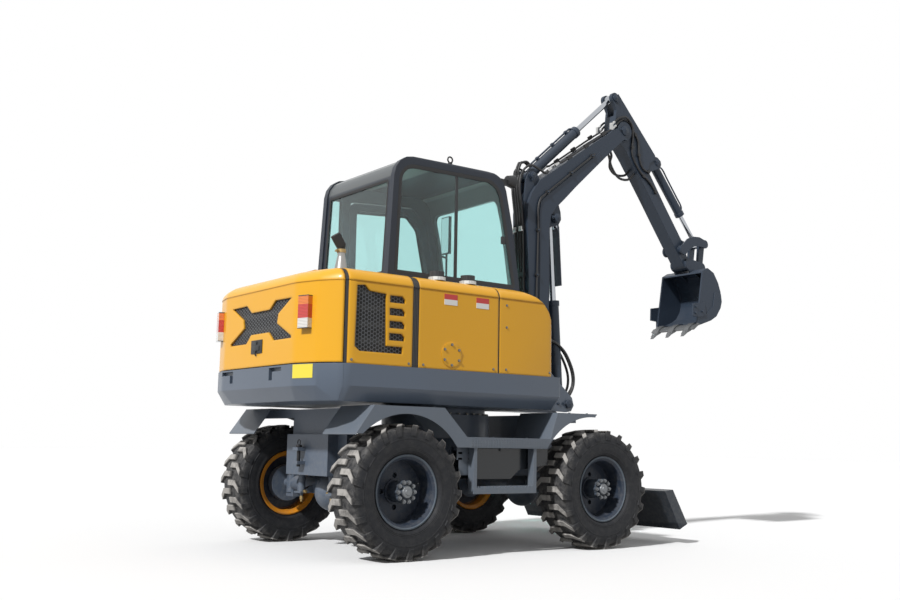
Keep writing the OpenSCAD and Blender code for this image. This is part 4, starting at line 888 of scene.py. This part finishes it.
# Knee fittings: bright unions over the boom's knee, where the column's hoses reach the arm
# cylinder and the two upper pipes.
knee_way = Vector((0.782, 0, 0.556)).normalized()
knee_y, knee_x, knee_z, knee_slope = 0.078, 1.143, 2.996, 0.7112
for s in (-1, 1):
    for x in (1.02, 1.10):
        at = Vector((x, s * knee_y, knee_z + (x - knee_x) * knee_slope))
        unions.bar(at, at + knee_way * 0.030, 0.014, 6, soft=0.001)
        unions.bar(at + knee_way * 0.030, at + knee_way * 0.048, 0.011, 16, soft=0.001)
    unions.block((0.765, s * 0.035 - 0.016, 2.385), (0.797, s * 0.035 + 0.016, 2.425), 0.003)
unions.done("boom", bright)
knee_hoses = Piece("knee_hoses")
column_x, column_z = 0.768, 2.835
lower_run = ((column_x, 0.042, column_z), (0.790, 0.060, 2.890), (0.845, knee_y, 2.925),
             (0.930, knee_y, 2.905), (1.000, knee_y, 2.885), (1.030, knee_y, 2.914))
upper_run = ((1.130, knee_y, 2.990), (1.155, knee_y, 3.000), (1.180, knee_y, 3.008))
for s in (-1, 1):
    for route in (lower_run, upper_run):
        knee_hoses.pipe(mirrored(s, route), thin_hose)
knee_hoses.done("boom", hose_rubber)

# Hoses to the arm cylinder: two loops from the column's hoses round to the barrel's ports.
on_arm = beside(arm_cylinder_foot, arm_cylinder_head)
arm_hoses = Piece("arm_cylinder_hoses")
for y in (-0.014, 0.014):
    arm_hoses.pipe([(column_x, y, column_z), (0.766, y, 2.885), (0.790, y, 2.945),
                    on_arm(0.030, 0.118, y), on_arm(0.072, 0.098, y),
                    on_arm(0.085, 0.060, y)], 0.010)
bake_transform(arm_hoses.done(None, hose_rubber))

# Pipes on the cylinders: bent steel tube from the foot to the rod end, clamped on the arm
# cylinder and led from a screwed union on the bucket cylinder.
arm_pipe = Piece("arm_cylinder_pipe")
arm_pipe.pipe([on_arm(along, out) for along, out in (
    (0.080, 0.036), (0.100, 0.052), (0.140, 0.056), (0.400, 0.056), (0.640, 0.056),
    (0.680, 0.052), (0.700, 0.036))], 0.008)
arm_tilt = Matrix.Rotation(math.radians(-41.8), 4, "Y")
for along in (0.20, 0.42, 0.62):
    at = on_arm(along, 0.050)
    low, high = Vector((-0.012, -0.014, -0.014)), Vector((0.012, 0.014, 0.018))
    arm_pipe.block(at + low, at + high, 0.003, arm_tilt)
arm_pipe.done("arm_barrel", steel_paint)
on_bucket_cylinder = beside(bucket_cylinder_foot, bucket_cylinder_head)
bucket_pipe = Piece("bucket_cylinder_pipe")
bucket_pipe.pipe([on_bucket_cylinder(along, out, y) for along, out, y in (
    (0.062, 0.030, 0), (0.066, 0.052, -0.006), (0.100, 0.058, -0.020), (0.200, 0.046, -0.028),
    (0.380, 0.036, -0.034), (0.470, 0.034, -0.034), (0.505, 0.024, -0.026))], 0.007)
union_low, union_high = on_bucket_cylinder(0.062, 0.030), on_bucket_cylinder(0.062, 0.060)
bucket_pipe.bar(union_low, union_high, 0.016, 6, soft=0.001)
bucket_pipe.done("bucket_barrel", steel_paint)

# Bucket: painted outside, worn to bare steel inside its lip, with bolts in its side cutters.
bucket_paint = Shader("bucket_paint", slate, coat=0.05, specular_ior_level=0.3)
bucket_paint.paint(dust=0.10, rough=0.45, fade=0.08)
x, _, z = bucket_paint.axes()
lip = ((x - 2.60) * 0.25 + z).clip(1.83, 1.79)
scratches = bucket_paint.noise(22.0, 6.0, 0.7, stretch=(1, 0.3, 1))
bare = (lip * 0.75 + scratches * 0.5).clip(0.62, 0.8)
bare_steel = (0.15, 0.155, 0.16)
bucket_paint.drive(base_color=bucket_paint.mix(bare, bucket_paint.fed("Base Color"), bare_steel),
                   metallic=bare * 0.5)
bucket_paint.wear("bucket")
cutter_bolts = Piece("cutter_bolts")
for s in (-1, 1):
    for x, z in ((2.600, 1.880), (2.608, 1.935), (2.690, 1.900)):
        cutter_bolts.bolt((x, s * 0.249, z), (0, s, 0), 0.018, 0.011)
cutter_bolts.done("bucket", bucket_paint)

# Seat: two foam cushions under dark cloth, on a moulded base. The cover is blown up a
# little by the cloth simulation, and no point of it moves by more than most_puff.
cloth = Shader("seat_cloth", (0.020, 0.021, 0.024), rough=0.9, sheen_weight=0.3)
x, y, z = cloth.axes()
weave = x.wave(0.004) * y.wave(0.004) + z.wave(0.004) * y.wave(0.004)
faded = cloth.noise(9.0).clip(0.4, 0.7) * 0.5
cloth.drive(base_color=cloth.mix(faded, cloth.base, (0.05, 0.05, 0.052)),
            normal=cloth.bump(weave, 0.0006))
cushions = Piece("seat_cushion_cover")
cushions.block((-0.312, 0.115, 1.508), (0.172, 0.580, 1.592), 0.018)
cushions.block((-0.334, 0.125, 1.628), (-0.238, 0.570, 1.952), 0.018)
cushion = cushions.done(None, cloth)
grid, most_puff, last_step = 0.007, 0.007, 20
remesh = cushion.modifiers.new("remesh", "REMESH")
remesh.mode = "VOXEL"
remesh.voxel_size = grid
bpy.context.view_layer.objects.active = cushion
bpy.ops.object.modifier_apply(modifier="remesh")
start = [v.co.copy() for v in cushion.data.vertices]
puff = cushion.modifiers.new("cloth", "CLOTH")
puff.settings.use_pressure = True
puff.settings.uniform_pressure_force = 4
puff.settings.effector_weights.gravity = 0
for step in range(1, last_step + 1):
    bpy.context.scene.frame_set(step)
bpy.ops.object.modifier_apply(modifier="cloth")
bpy.context.scene.frame_set(1)
for vertex, old in zip(cushion.data.vertices, start):
    move = vertex.co - old
    if move.length > most_puff:
        vertex.co = old + move.normalized() * most_puff
cushion.data.polygons.foreach_set("use_smooth", [True] * len(cushion.data.polygons))
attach(cushion, "upper")
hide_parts("seat_cushions")

# Ground and studio: a pale floor, white surroundings and one sun-like lamp high at the rear.
# The floor and the sky look white, and throw less light on the machine than they show.
floor_mesh = bpy.data.meshes.new("floor")
build = bmesh.new()
bmesh.ops.create_grid(build, x_segments=1, y_segments=1, size=60)
build.to_mesh(floor_mesh)
build.free()
floor = bpy.data.objects.new("floor", floor_mesh)
bpy.context.scene.collection.objects.link(floor)
ground = Shader("floor", (0.30, 0.30, 0.30), rough=0.9, specular_ior_level=0.1)
ground.drive(base_color=ground.mix(ground.seen(), ground.base, (0.93, 0.93, 0.93)))
floor.data.materials.append(ground.material)

sun = bpy.data.objects.new("sun", bpy.data.lights.new("sun", "SUN"))
sun.data.energy = 3.3
sun.data.angle = math.radians(3)
towards_sun = Vector((-0.85, -0.25, 0.75))
sun.rotation_euler = towards_sun.to_track_quat("Z", "Y").to_euler()
bpy.context.scene.collection.objects.link(sun)

world = bpy.data.worlds.new("studio")
world.use_nodes = True
bpy.context.scene.world = world
sky = world.node_tree.nodes["Background"]
sky.inputs["Color"].default_value = (1.0, 1.0, 1.0, 1.0)
studio = Graph(world.node_tree)
soft_level = 0.42
studio.put(sky.inputs["Strength"], studio.seen() * (1.0 - soft_level) + soft_level)
